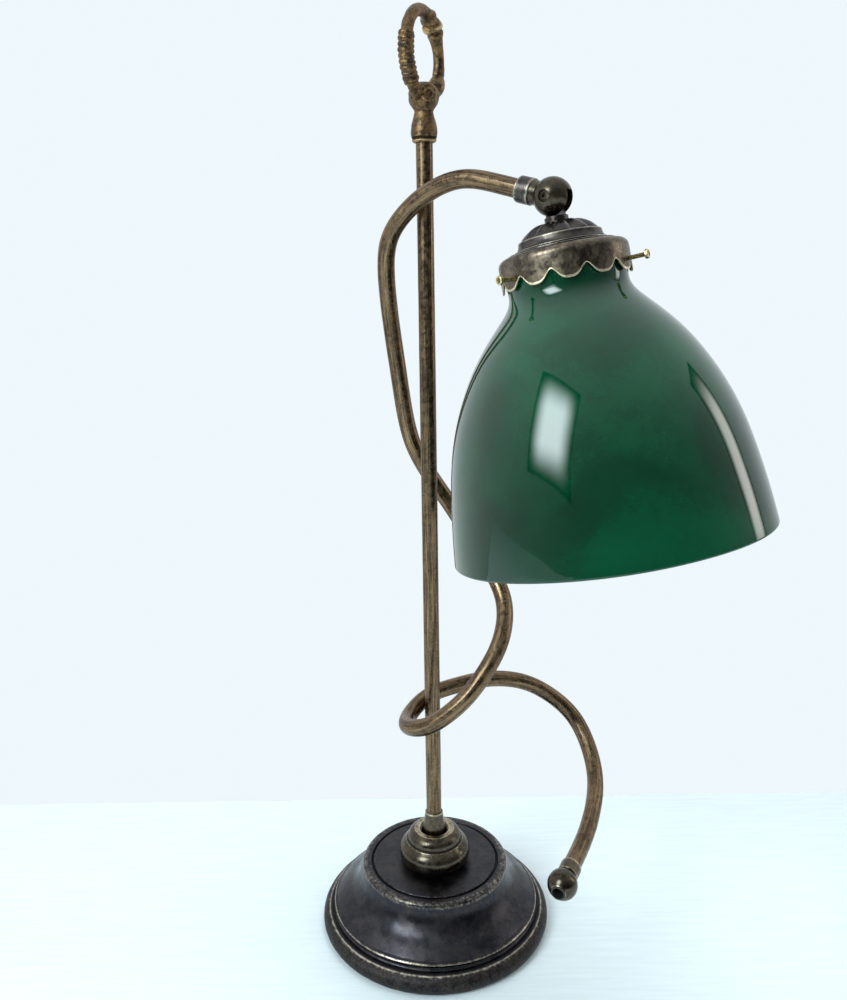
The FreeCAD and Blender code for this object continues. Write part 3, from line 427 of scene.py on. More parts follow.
def piece(name: str, skins: Sequence[Skin], body: str, stands_for: Sequence[str],
          material: bpy.types.Material, crease: float = 180.0) -> bpy.types.Object:
    """Make one object from skins, ride it on a body and dress it.

    Args:
        name: The object's name.
        skins: Grids; an open one is closed by a fan at each end.
        body: Body of the frame.
        stands_for: CAD nodes that the piece replaces.
        material: Its finish.
        crease: Angle in degrees above which an edge is shaded sharp.

    Returns:
        The object.
    """
    points, worn, polygons, chart = [], [], [], []
    offset = 0
    for skin in skins:
        quads, uv = faces_of(skin, offset)
        rows, columns = skin.points.shape[:2]
        points.append(skin.points.reshape(-1, 3))
        worn.append(skin.worn.reshape(-1))
        polygons.extend(quads.tolist())
        chart.append(uv)
        offset += rows * columns
        if not skin.closed:
            for row, start in ((0, offset - rows * columns), (rows - 1, offset - columns)):
                points.append(skin.points[row].mean(0)[None])
                worn.append(np.array([skin.worn[row].mean()]))
                ring = start + np.arange(columns)
                fan = np.stack([ring, np.roll(ring, -1), np.full(columns, offset)], -1)
                polygons.extend(fan.tolist())
                turn = np.linspace(0, 1, columns + 1)
                level = np.full(columns, skin.along[row])
                chart.append(np.stack([np.stack([turn[:-1], level], -1), np.stack([turn[1:], level], -1),
                                       np.stack([turn[:-1], level], -1)], 1).reshape(-1, 2))
                offset += 1
    mesh = bpy.data.meshes.new(name)
    mesh.from_pydata(np.concatenate(points).tolist(), [], polygons)
    layer = mesh.uv_layers.new(name="Chart")
    layer.data.foreach_set("uv", np.concatenate(chart).astype(np.float32).ravel())
    wear = mesh.attributes.new("worn", "FLOAT", "POINT")
    wear.data.foreach_set("value", np.concatenate(worn).astype(np.float32))
    tidy_mesh(mesh, crease)
    made = bpy.data.objects.new(name, mesh)
    bpy.context.scene.collection.objects.link(made)
    mesh.materials.append(material)
    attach(made, body)
    if stands_for:
        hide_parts(*stands_for)
    LOG.info("%s: %d faces on %s", name, len(mesh.polygons), body)
    return made


def tidy_mesh(mesh: bpy.types.Mesh, crease: float) -> None:
    """Turn a mesh's faces outwards and shade it smooth up to an angle."""
    work = bmesh.new()
    work.from_mesh(mesh)
    bmesh.ops.remove_doubles(work, verts=work.verts, dist=1e-7)
    bmesh.ops.recalc_face_normals(work, faces=work.faces)
    work.to_mesh(mesh)
    work.free()
    mesh.shade_smooth()
    if crease < 180.0:
        mesh.set_sharp_from_angle(angle=math.radians(crease))


def smoothed_copy(node: str, body: str, material: bpy.types.Material,
                  crease: float = 32.0, bevel: float = 0.0) -> bpy.types.Object:
    """Merged and smoothly shaded copy of a CAD node that stands for it.

    Args:
        node: The CAD node.
        body: Body of the frame.
        material: Its finish.
        crease: Angle in degrees above which an edge stays sharp.
        bevel: Width in millimetres of the bevel on sharp edges, or 0.

    Returns:
        The object.
    """
    mesh = frame["nodes"][node].data.copy()
    mesh.materials.clear()
    work = bmesh.new()
    work.from_mesh(mesh)
    bmesh.ops.remove_doubles(work, verts=work.verts, dist=1e-6)
    bmesh.ops.dissolve_limit(work, angle_limit=math.radians(1.0), verts=work.verts, edges=work.edges)
    bmesh.ops.recalc_face_normals(work, faces=work.faces)
    work.to_mesh(mesh)
    work.free()
    if mesh.has_custom_normals:
        mesh.attributes.remove(mesh.attributes["custom_normal"])
    mesh.shade_smooth()
    mesh.set_sharp_from_angle(angle=math.radians(crease))
    made = bpy.data.objects.new(node + "_finished", mesh)
    bpy.context.scene.collection.objects.link(made)
    if bevel > 0:
        rounding = made.modifiers.new("edges", "BEVEL")
        rounding.width = bevel * MM
        rounding.segments = 2
        rounding.limit_method = "ANGLE"
        rounding.angle_limit = math.radians(crease)
        rounding.harden_normals = True
    mesh.materials.append(material)
    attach(made, body)
    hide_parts(node)
    LOG.info("%s: copy with %d faces on %s", made.name, len(mesh.polygons), body)
    return made


# ============================================================ node trees
Value = float | tuple[float, ...] | bpy.types.NodeSocket


class Graph:
    """Short hand for adding nodes to a tree."""

    def __init__(self, tree: bpy.types.NodeTree) -> None:
        """Work on one node tree."""
        self.tree = tree

    def add(self, kind: str, inputs: dict[str | int, Value] | None = None, **settings: object) -> bpy.types.Node:
        """Add a node.

        Args:
            kind: The node's type name.
            inputs: A value or a socket for each input, by name or number.
            settings: Attributes of the node.

        Returns:
            The node.
        """
        node = self.tree.nodes.new(kind)
        for key, value in settings.items():
            setattr(node, key, value)
        for key, value in (inputs or {}).items():
            if isinstance(value, bpy.types.NodeSocket):
                self.tree.links.new(value, node.inputs[key])
            else:
                node.inputs[key].default_value = value
        return node

    def math(self, operation: str, *values: Value, clamp: bool = False) -> bpy.types.NodeSocket:
        """Output of a Math node on one, two or three values."""
        node = self.add("ShaderNodeMath", dict(enumerate(values)), operation=operation, use_clamp=clamp)
        return node.outputs[0]

    def noise(self, vector: Value, scale: Value, detail: float = 3.0, rough: float = 0.55,
              distortion: float = 0.0) -> bpy.types.NodeSocket:
        """Factor of a Noise Texture."""
        node = self.add("ShaderNodeTexNoise", {"Vector": vector, "Scale": scale, "Detail": detail,
                                               "Roughness": rough, "Distortion": distortion})
        return node.outputs["Fac"]

    def ramp(self, value: Value, low: float, high: float, start: float = 0.0, end: float = 1.0) -> bpy.types.NodeSocket:
        """Smooth step of a value from one range to another."""
        node = self.add("ShaderNodeMapRange", {"Value": value, "From Min": low, "From Max": high, "To Min": start,
                                               "To Max": end}, interpolation_type="SMOOTHSTEP")
        return node.outputs["Result"]

    def blend(self, factor: Value, first: Value, second: Value, mode: str = "MIX") -> bpy.types.NodeSocket:
        """Mix of two colours."""
        node = self.add("ShaderNodeMix", {"Factor": factor}, data_type="RGBA", blend_type=mode)
        for key, value in ((6, first), (7, second)):
            if isinstance(value, bpy.types.NodeSocket):
                self.tree.links.new(value, node.inputs[key])
            else:
                node.inputs[key].default_value = (*value, 1.0) if len(value) == 3 else value
        return node.outputs[2]

    def scaled(self, vector: Value, scale: tuple[float, float, float]) -> bpy.types.NodeSocket:
        """A vector multiplied by three numbers."""
        node = self.add("ShaderNodeVectorMath", {0: vector, 1: scale}, operation="MULTIPLY")
        return node.outputs[0]


def effect(name: str, inputs: dict[str, tuple[str, Value]], outputs: dict[str, str],
           build: Callable[[Graph, bpy.types.NodeOutputs], dict[str, bpy.types.NodeSocket]]) -> bpy.types.NodeTree:
    """Shared node group, built once.

    Args:
        name: The group's name.
        inputs: Socket type and default for each input.
        outputs: Socket type for each output.
        build: Function that adds the nodes and returns a socket for each output.

    Returns:
        The group.
    """
    if name in bpy.data.node_groups:
        return bpy.data.node_groups[name]
    tree = bpy.data.node_groups.new(name, "ShaderNodeTree")
    for key, (kind, default) in inputs.items():
        socket = tree.interface.new_socket(key, in_out="INPUT", socket_type=kind)
        if kind != "NodeSocketVector":
            socket.default_value = default
    for key, kind in outputs.items():
        tree.interface.new_socket(key, in_out="OUTPUT", socket_type=kind)
    graph = Graph(tree)
    source = graph.add("NodeGroupInput")
    made = build(graph, source.outputs)
    sink = graph.add("NodeGroupOutput")
    for key, socket in made.items():
        tree.links.new(socket, sink.inputs[key])
    return tree


FLOAT = "NodeSocketFloat"
VECTOR = "NodeSocketVector"


def patina() -> bpy.types.NodeTree:
    """Group: patches of thick and thin patina, with fine speckle and lengthwise streaks."""

    def build(graph: Graph, given: bpy.types.NodeOutputs) -> dict[str, bpy.types.NodeSocket]:
        """Broad cloud, middling blotches and fine speckle, then streaks by their share."""
        cloud = graph.noise(given["Place"], given["Scale"], 4.0, 0.6, 0.4)
        blotch = graph.noise(given["Place"], graph.math("MULTIPLY", given["Scale"], 4.3), 3.0, 0.62)
        speckle = graph.noise(given["Place"], graph.math("MULTIPLY", given["Scale"], 19.0), 2.0, 0.7)
        streak = graph.noise(given["Lengthwise"], 1.0, 4.0, 0.62)
        even = graph.math("ADD", graph.math("MULTIPLY", cloud, 0.45), graph.math("MULTIPLY", blotch, 0.35))
        even = graph.math("ADD", even, graph.math("MULTIPLY", speckle, 0.20))
        plain = graph.math("MULTIPLY", even, graph.math("SUBTRACT", 1.0, given["Streaks"]))
        mixed = graph.math("ADD", plain, graph.math("MULTIPLY", streak, given["Streaks"]))
        return {"Thin": graph.ramp(mixed, 0.40, 0.62), "Speckle": graph.ramp(speckle, 0.35, 0.7),
                "Cloud": graph.ramp(cloud, 0.35, 0.65)}

    return effect("patina", {"Place": (VECTOR, 0.0), "Lengthwise": (VECTOR, 0.0), "Scale": (FLOAT, 60.0),
                             "Streaks": (FLOAT, 0.0)},
                  {"Thin": FLOAT, "Speckle": FLOAT, "Cloud": FLOAT}, build)


def edge_wear() -> bpy.types.NodeTree:
    """Group: where edges are rubbed bright, and where hollow corners and recesses are darkened as dirt and painted
    shade, from the worn attribute.
    """

    def build(graph: Graph, given: bpy.types.NodeOutputs) -> dict[str, bpy.types.NodeSocket]:
        """The attribute broken up by noise, its two signs taken apart."""
        broken = graph.noise(given["Place"], given["Scale"], 4.0, 0.65)
        shift = graph.math("MULTIPLY", graph.math("SUBTRACT", broken, 0.5), given["Breakup"])
        bright = graph.ramp(graph.math("ADD", given["Worn"], shift), 0.25, 0.85)
        # Painted shade and dirt: negative worn values mark recesses, which are darkened as if shade fell there.
        dirt_and_shade = graph.ramp(graph.math("SUBTRACT", shift, given["Worn"]), 0.15, 0.75)
        return {"Bright": bright, "DirtAndShade": dirt_and_shade}

    return effect("edge_wear", {"Place": (VECTOR, 0.0), "Worn": (FLOAT, 0.0), "Scale": (FLOAT, 400.0),
                                "Breakup": (FLOAT, 0.8)}, {"Bright": FLOAT, "DirtAndShade": FLOAT}, build)


def grain() -> bpy.types.NodeTree:
    """Group: fine surface grain as a height, from a pitted layer and a hairline layer."""

    def build(graph: Graph, given: bpy.types.NodeOutputs) -> dict[str, bpy.types.NodeSocket]:
        """Noise at two scales, the finer one stretched along the chart."""
        pits = graph.noise(given["Place"], given["Scale"], 5.0, 0.7)
        hair = graph.noise(given["Lengthwise"], 6.0, 2.0, 0.5)
        return {"Height": graph.math("ADD", graph.math("MULTIPLY", pits, given["Pits"]),
                                     graph.math("MULTIPLY", hair, given["Hairlines"]))}

    return effect("grain", {"Place": (VECTOR, 0.0), "Lengthwise": (VECTOR, 0.0), "Scale": (FLOAT, 900.0),
                            "Pits": (FLOAT, 1.0), "Hairlines": (FLOAT, 0.3)}, {"Height": FLOAT}, build)


def new_material(name: str) -> tuple[bpy.types.Material, Graph, bpy.types.Node]:
    """Empty material with a Principled shader wired to its output."""
    material = bpy.data.materials.new(name)
    material.use_nodes = True
    material.node_tree.nodes.clear()
    graph = Graph(material.node_tree)
    shader = graph.add("ShaderNodeBsdfPrincipled")
    graph.add("ShaderNodeOutputMaterial", {"Surface": shader.outputs["BSDF"]})
    return material, graph, shader


def place_of(graph: Graph) -> bpy.types.NodeSocket:
    """Object coordinates, in metres."""
    return graph.add("ShaderNodeTexCoord").outputs["Object"]


def lengthwise() -> bpy.types.NodeTree:
    """Group: chart coordinates wrapped round a cylinder, so that a pattern runs along a piece with no seam."""

    def build(graph: Graph, given: bpy.types.NodeOutputs) -> dict[str, bpy.types.NodeSocket]:
        """Cosine and sine of the way round, and the distance along."""
        parts = graph.add("ShaderNodeSeparateXYZ", {0: given["Chart"]})
        turn = graph.math("MULTIPLY", parts.outputs["X"], FULL_TURN)
        across = graph.math("MULTIPLY", graph.math("COSINE", turn), given["Around"])
        deep = graph.math("MULTIPLY", graph.math("SINE", turn), given["Around"])
        far = graph.math("MULTIPLY", parts.outputs["Y"], given["Along"])
        return {"Vector": graph.add("ShaderNodeCombineXYZ", {0: across, 1: deep, 2: far}).outputs[0]}

    return effect("lengthwise", {"Chart": (VECTOR, 0.0), "Around": (FLOAT, 3.0), "Along": (FLOAT, 26.0)},
                  {"Vector": VECTOR}, build)


def lengthwise_of(graph: Graph, around: float, along: float) -> bpy.types.NodeSocket:
    """Seamless coordinates stretched along the piece."""
    chart = graph.add("ShaderNodeUVMap", uv_map="Chart").outputs["UV"]
    node = graph.add("ShaderNodeGroup", node_tree=lengthwise())
    graph.tree.links.new(chart, node.inputs["Chart"])
    node.inputs["Around"].default_value = around
    node.inputs["Along"].default_value = along
    return node.outputs["Vector"]


@dataclass(frozen=True)
class AgedMetal:
    """Dark patinated brass or bronze that shows its own colour where it is rubbed, and goes near black in recesses as
    dirt and painted shade.
    """

    name: str
    dark: tuple[float, float, float] = (0.060, 0.046, 0.036)
    warm: tuple[float, float, float] = (0.270, 0.190, 0.115)
    worn: tuple[float, float, float] = (0.800, 0.640, 0.420)
    scale: float = 70.0
    streaks: float = 0.0
    around: float = 3.0
    along: float = 60.0
    thin: float = 0.6
    rough: tuple[float, float] = (0.30, 0.50)
    pits: float = 0.6
    grain_scale: float = 1400.0
    hairlines: float = 0.2
    bump: float = 0.12
    breakup: float = 0.8

    def material(self) -> bpy.types.Material:
        """Build the finish.

        Returns:
            The material.
        """
        made, graph, shader = new_material(self.name)
        place = place_of(graph)
        streak = lengthwise_of(graph, self.around, self.along)
        hair = lengthwise_of(graph, self.around * 4.0, self.along * 0.6)
        worn = graph.add("ShaderNodeAttribute", attribute_name="worn").outputs["Fac"]
        film = graph.add("ShaderNodeGroup", {"Place": place, "Lengthwise": streak, "Scale": self.scale,
                                             "Streaks": self.streaks}, node_tree=patina())
        edge = graph.add("ShaderNodeGroup", {"Place": place, "Worn": worn, "Scale": 420.0,
                                             "Breakup": self.breakup}, node_tree=edge_wear())
        skin = graph.add("ShaderNodeGroup", {"Place": place, "Lengthwise": hair, "Scale": self.grain_scale,
                                             "Pits": self.pits, "Hairlines": self.hairlines}, node_tree=grain())
        amount = graph.math("MULTIPLY", film.outputs["Thin"], self.thin)
        colour = graph.blend(amount, self.dark, self.warm)
        rubbed = graph.math("MULTIPLY", edge.outputs["Bright"], graph.ramp(film.outputs["Speckle"], 0.0, 0.6, 0.7, 1.0))
        colour = graph.blend(rubbed, colour, self.worn)
        # Near-black colour for recesses: partly dirt, partly painted shade.
        black = tuple(channel * 0.35 for channel in self.dark)
        colour = graph.blend(graph.math("MULTIPLY", edge.outputs["DirtAndShade"], 0.85), colour, black)
        rough = graph.ramp(film.outputs["Cloud"], 0.0, 1.0, self.rough[0], self.rough[1])
        rough = graph.math("ADD", rough, graph.math("MULTIPLY", edge.outputs["DirtAndShade"], 0.25), clamp=True)
        relief = graph.add("ShaderNodeBump", {"Strength": self.bump, "Distance": 0.0006,
                                              "Height": skin.outputs["Height"]})
        graph.tree.links.new(colour, shader.inputs["Base Color"])
        graph.tree.links.new(rough, shader.inputs["Roughness"])
        graph.tree.links.new(relief.outputs["Normal"], shader.inputs["Normal"])
        shader.inputs["Metallic"].default_value = 1.0
        return made


@dataclass(frozen=True)
class CasedGlass:
    """Deep green glass fused over opal, glossy and very slightly uneven as blown glass is."""

    name: str = "cased_green_glass"
    deep: tuple[float, float, float] = (0.0003, 0.022, 0.0085)
    bright: tuple[float, float, float] = (0.0010, 0.062, 0.025)
    gloss: float = 0.035

    def material(self) -> bpy.types.Material:
        """Build the finish.

        Returns:
            The material.
        """
        made, graph, shader = new_material(self.name)
        place = place_of(graph)
        cloud = graph.noise(place, 14.0, 2.0, 0.5, 0.6)
        fine = graph.noise(place, 240.0, 2.0, 0.5)
        mixed = graph.math("ADD", graph.math("MULTIPLY", cloud, 0.85), graph.math("MULTIPLY", fine, 0.15))
        colour = graph.blend(graph.ramp(mixed, 0.30, 0.72), self.deep, self.bright)
        smear = graph.noise(place, 60.0, 3.0, 0.6)
        rough = graph.ramp(smear, 0.35, 0.8, self.gloss, self.gloss * 2.2)
        wave = graph.add("ShaderNodeBump", {"Strength": 0.10, "Distance": 0.0012,
                                            "Height": graph.noise(place, 26.0, 1.0, 0.4)})
        graph.tree.links.new(colour, shader.inputs["Base Color"])
        graph.tree.links.new(rough, shader.inputs["Roughness"])
        graph.tree.links.new(wave.outputs["Normal"], shader.inputs["Normal"])
        shader.inputs["IOR"].default_value = 1.52
        shader.inputs["Coat Weight"].default_value = 0.35
        shader.inputs["Coat Roughness"].default_value = 0.02
        return made


@dataclass(frozen=True)
class OpalGlass:
    """White opal glass with a soft satin face."""

    name: str = "opal_glass"
    tone: tuple[float, float, float] = (0.86, 0.88, 0.84)

    def material(self) -> bpy.types.Material:
        """Build the finish.

        Returns:
            The material.
        """
        made, graph, shader = new_material(self.name)
        place = place_of(graph)
        cloud = graph.noise(place, 30.0, 3.0, 0.5)
        shade = tuple(channel * 0.90 for channel in self.tone)
        colour = graph.blend(graph.ramp(cloud, 0.3, 0.7), shade, self.tone)
        graph.tree.links.new(colour, shader.inputs["Base Color"])
        graph.tree.links.new(graph.ramp(graph.noise(place, 90.0), 0.3, 0.7, 0.10, 0.20), shader.inputs["Roughness"])
        shader.inputs["IOR"].default_value = 1.52
        shader.inputs["Subsurface Weight"].default_value = 0.25
        shader.inputs["Subsurface Scale"].default_value = 0.004
        return made


@dataclass(frozen=True)
class Frosted:
    """Frosted bulb glass."""

    name: str = "frosted_bulb_glass"

    def material(self) -> bpy.types.Material:
        """Build the finish."""
        made, graph, shader = new_material(self.name)
        place = place_of(graph)
        colour = graph.blend(graph.noise(place, 60.0), (0.80, 0.81, 0.78), (0.90, 0.90, 0.87))
        graph.tree.links.new(colour, shader.inputs["Base Color"])
        graph.tree.links.new(graph.ramp(graph.noise(place, 400.0), 0.3, 0.7, 0.28, 0.40), shader.inputs["Roughness"])
        shader.inputs["Subsurface Weight"].default_value = 0.3
        shader.inputs["Subsurface Scale"].default_value = 0.003
        return made


@dataclass(frozen=True)
class Plain:
    """Plain stock material with grain: steel, nylon, moulded plastic or felt."""

    name: str
    low: tuple[float, float, float]
    high: tuple[float, float, float]
    metallic: float = 0.0
    rough: tuple[float, float] = (0.35, 0.55)
    scale: float = 300.0
    bump: float = 0.1
    sheen: float = 0.0

    def material(self) -> bpy.types.Material:
        """Build the finish.

        Returns:
            The material.
        """
        made, graph, shader = new_material(self.name)
        place = place_of(graph)
        mottle = graph.noise(place, self.scale, 4.0, 0.6)
        colour = graph.blend(graph.ramp(mottle, 0.3, 0.7), self.low, self.high)
        rough = graph.ramp(graph.noise(place, self.scale * 0.4), 0.3, 0.7, self.rough[0], self.rough[1])
        relief = graph.add("ShaderNodeBump", {"Strength": self.bump, "Distance": 0.0004,
                                              "Height": graph.noise(place, self.scale * 4.0, 4.0, 0.7)})
        graph.tree.links.new(colour, shader.inputs["Base Color"])
        graph.tree.links.new(rough, shader.inputs["Roughness"])
        graph.tree.links.new(relief.outputs["Normal"], shader.inputs["Normal"])
        shader.inputs["Metallic"].default_value = self.metallic
        shader.inputs["Sheen Weight"].default_value = self.sheen
        return made


@dataclass
class Finishes:
    """Every finish on the lamp."""

    cast: AgedMetal = AgedMetal("dark_cast_patina", dark=(0.036, 0.036, 0.043), warm=(0.105, 0.088, 0.082),
                                worn=(0.66, 0.56, 0.44), scale=52.0, thin=0.50, rough=(0.24, 0.40), pits=1.0,
                                grain_scale=1500.0, bump=0.13, breakup=1.1)
    rough_cast: AgedMetal = AgedMetal("scuffed_foot_patina", dark=(0.022, 0.021, 0.024), warm=(0.115, 0.095, 0.085),
                                      worn=(0.62, 0.54, 0.45), scale=190.0, thin=0.65, rough=(0.42, 0.64), pits=1.0,
                                      grain_scale=900.0, bump=0.50, breakup=1.3)
    turned: AgedMetal = AgedMetal("turned_bronze_patina", dark=(0.066, 0.056, 0.044), warm=(0.230, 0.180, 0.120),
                                  worn=(0.66, 0.55, 0.38), scale=70.0, thin=0.50, rough=(0.18, 0.32), bump=0.07,
                                  breakup=1.0)
    tube: AgedMetal = AgedMetal("streaked_tube_patina", dark=(0.070, 0.050, 0.038), warm=(0.400, 0.262, 0.140),
                                worn=(0.90, 0.72, 0.46), scale=210.0, streaks=0.58, around=7.5, along=34.0,
                                thin=0.80, rough=(0.24, 0.40), bump=0.10)
    casting: AgedMetal = AgedMetal("golden_casting_patina", dark=(0.060, 0.045, 0.035), warm=(0.430, 0.250, 0.105),
                                   worn=(0.80, 0.58, 0.30), scale=150.0, thin=0.70, rough=(0.30, 0.50), pits=1.2,
                                   grain_scale=800.0, bump=0.34)
    spun: AgedMetal = AgedMetal("spun_bronze_patina", dark=(0.098, 0.080, 0.066), warm=(0.350, 0.275, 0.190),
                                worn=(0.90, 0.76, 0.54), scale=120.0, thin=0.72, rough=(0.26, 0.42), bump=0.12,
                                breakup=0.8)
    cap: AgedMetal = AgedMetal("dark_spun_patina", dark=(0.060, 0.055, 0.056), warm=(0.180, 0.146, 0.116),
                               worn=(0.52, 0.46, 0.38), scale=90.0, thin=0.55, rough=(0.22, 0.38), bump=0.09,
                               breakup=1.1)
    screw: AgedMetal = AgedMetal("worn_screw_brass", dark=(0.20, 0.14, 0.055), warm=(0.82, 0.60, 0.26),
                                 worn=(1.0, 0.84, 0.50), scale=420.0, thin=0.9, rough=(0.22, 0.4), bump=0.2)
    brass: AgedMetal = AgedMetal("holder_brass", dark=(0.50, 0.35, 0.13), warm=(0.80, 0.60, 0.28),
                                 worn=(0.95, 0.80, 0.48), scale=160.0, thin=0.8, rough=(0.2, 0.34), bump=0.06)
    shade: CasedGlass = CasedGlass()
    lining: OpalGlass = OpalGlass()
    bulb: Frosted = Frosted()
    steel: Plain = Plain("zinc_plated_steel", (0.42, 0.41, 0.40), (0.60, 0.60, 0.58), 1.0, (0.25, 0.42))
    iron: Plain = Plain("grey_iron", (0.05, 0.05, 0.052), (0.11, 0.11, 0.112), 0.6, (0.55, 0.75), 160.0, 0.4)
    felt: Plain = Plain("green_felt", (0.010, 0.045, 0.022), (0.022, 0.085, 0.042), 0.0, (0.9, 1.0), 1400.0, 0.8, 0.4)
    nylon: Plain = Plain("white_nylon", (0.68, 0.68, 0.64), (0.78, 0.78, 0.75), 0.0, (0.4, 0.5))
    black: Plain = Plain("black_moulding", (0.012, 0.012, 0.013), (0.028, 0.027, 0.026), 0.0, (0.32, 0.48))
    sheath: Plain = Plain("brown_flex_sheath", (0.050, 0.028, 0.014), (0.090, 0.055, 0.028), 0.0, (0.45, 0.6))
    made: dict[str, bpy.types.Material] = field(default_factory=dict)

    def __getitem__(self, name: str) -> bpy.types.Material:
        """Material of a finish, built the first time that it is asked for."""
        if name not in self.made:
            self.made[name] = getattr(self, name).material()
        return self.made[name]


# ============================================================ the lamp
def joint(name: str) -> dict:
    """A joint of the frame by name."""
    return next(one for one in frame["joints"] if one["name"] == name)


def dressed(nodes: dict[str, str], finishes: Finishes) -> None:
    """Give CAD nodes that stay as they are their finishes."""
    for node, finish in nodes.items():
        mesh = frame["nodes"][node].data
        mesh.materials.clear()
        mesh.materials.append(finishes[finish])
        LOG.info("%s: finish %s", node, finish)


@dataclass
class LampBase:
    """Weighted round foot: spun shell with a lip and a scribed groove, bell-shaped cup, felt and fixings."""

    foot_radius: float = 91.4
    foot_height: float = 13.7
    dome_radius: float = 82.1
    dome_height: float = 19.9
    lip_radius: float = 58.3
    lip_height: float = 50.8
    plate_height: float = 51.0
    groove_radius: float = 50.6
    cup_radius: float = 28.3

    def shell_outline(self) -> list[Corner]:
        """Outline from the recess under the foot, over the dome and the lip to the stud's hole."""
        foot, dome, lip, groove = self.foot_radius, self.dome_radius, self.lip_radius, self.groove_radius
        return [
            # Negative wear darkens the recess under the foot, the cove above it, the scribed groove and the plate under
            # the cup, as dirt and painted shade.
            Corner(60.0, 5.0, 0), Corner(84.6, 5.0, 0.3, -0.5), Corner(84.6, 1.0, 0.3),
            *bow((foot - 2.8, 1.0), (foot - 0.3, self.foot_height / 2), (foot - 5.0, self.foot_height - 0.4), 0.12),
            Corner(foot - 5.5, self.foot_height, 0.5, 0.62), Corner(foot - 7.3, self.foot_height + 0.7, 0.7, -0.8),
            *bow((foot - 8.0, self.foot_height + 0.9), (dome - 1.8, self.foot_height + 2.2),
                 (dome - 0.8, self.dome_height - 2.0), -0.15),
            Corner(dome, self.dome_height - 0.8, 0.6, 0.58), Corner(dome - 1.3, self.dome_height + 0.5, 0.7, 0.1),
            *bow((dome - 1.9, self.dome_height + 0.5), (76.6, 23.4), (71.2, 27.6)),
            *bow((71.2, 27.6), (62.4, 36.4), (58.6, 46.4))[1:],
            *bow((lip - 0.05, 47.4), (lip - 0.9, 50.0), (lip - 3.3, self.lip_height), 0.36),
            Corner(groove + 0.8, self.lip_height - 0.1, 0.4, 0.2), Corner(groove, 49.3, 0.3, -1.0),
            Corner(groove - 1.4, 49.3, 0.3, -1.0), Corner(groove - 1.5, self.plate_height - 0.4, 0.3, 0.3),
            Corner(groove - 2.0, self.plate_height, 0.4), Corner(30.0, self.plate_height, 0.5),
            Corner(25.0, self.plate_height, 0, -1.0), Corner(5.3, self.plate_height, 0.2), Corner(5.3, 44.0, 0),
        ]

    def cup_outline(self) -> list[Corner]:
        """Outline of the cup from the plate, over its groove and its rim, to the web inside."""
        low, wide = self.plate_height, self.cup_radius
        return [
            # Negative wear darkens the tuck at the cup's foot, its groove and the inside of its mouth, as dirt and
            # painted shade.
            Corner(20.0, low - 0.1, 0), Corner(wide - 3.0, low - 0.1, 0.3, -0.9),
            *bow((wide - 2.8, low + 0.3), (wide, low + 8.0), (wide - 5.2, low + 17.0)),
            Corner(wide - 5.6, low + 17.5, 0.4, 0.4), Corner(wide - 7.0, low + 17.9, 0.4, -1.0),
            Corner(wide - 6.9, low + 18.6, 0.4, 0.5),
            *bow((wide - 7.0, low + 19.0), (wide - 8.5, low + 23.4), (wide - 12.0, low + 26.1)),
            Corner(wide - 12.8, low + 26.6, 0.7, 0.6), Corner(12.2, low + 26.6, 0.7, 0.7),
            Corner(9.85, low + 25.0, 0.4, -0.3), Corner(9.85, low + 14.0, 0.3, -1.0), Corner(5.3, low + 12.2, 0.2, -1.0),
            Corner(5.3, low + 10.0, 0),
        ]

    def build(self, finishes: Finishes) -> None:
        """Make the foot's pieces."""
        outline = trace(self.shell_outline(), spread=0.9)
        skin = roughened(turned(outline, columns=256), 0.06, 7.0, 3)
        rough = piece("base_shell_finished", [skin], Body.BASE, ["base_shell"], finishes["cast"])
        self.scuff(rough, finishes)
        cup = roughened(turned(trace(self.cup_outline(), spread=0.8), columns=160), 0.03, 5.0, 4)
        piece("base_cup_finished", [cup], Body.BASE, ["base_cup"], finishes["turned"])
        dressed({"base_weight": "iron", "base_felt": "felt", "base_stud": "steel", "lower_nut": "steel",
                 "lower_washer": "steel", "cup_nut": "steel", "thrust_washer": "nylon"}, finishes)

    def scuff(self, shell: bpy.types.Object, finishes: Finishes) -> None:
        """Give the faces of the foot's side the scuffed finish."""
        mesh = shell.data
        mesh.materials.append(finishes["rough_cast"])
        centres = np.empty(len(mesh.polygons) * 3)
        mesh.polygons.foreach_get("center", centres)
        centres = centres.reshape(-1, 3) / MM
        side = (centres[:, 2] < self.foot_height) & (np.hypot(centres[:, 0], centres[:, 1]) > self.foot_radius - 5.8)
        mesh.polygons.foreach_set("material_index", side.astype(np.int32))


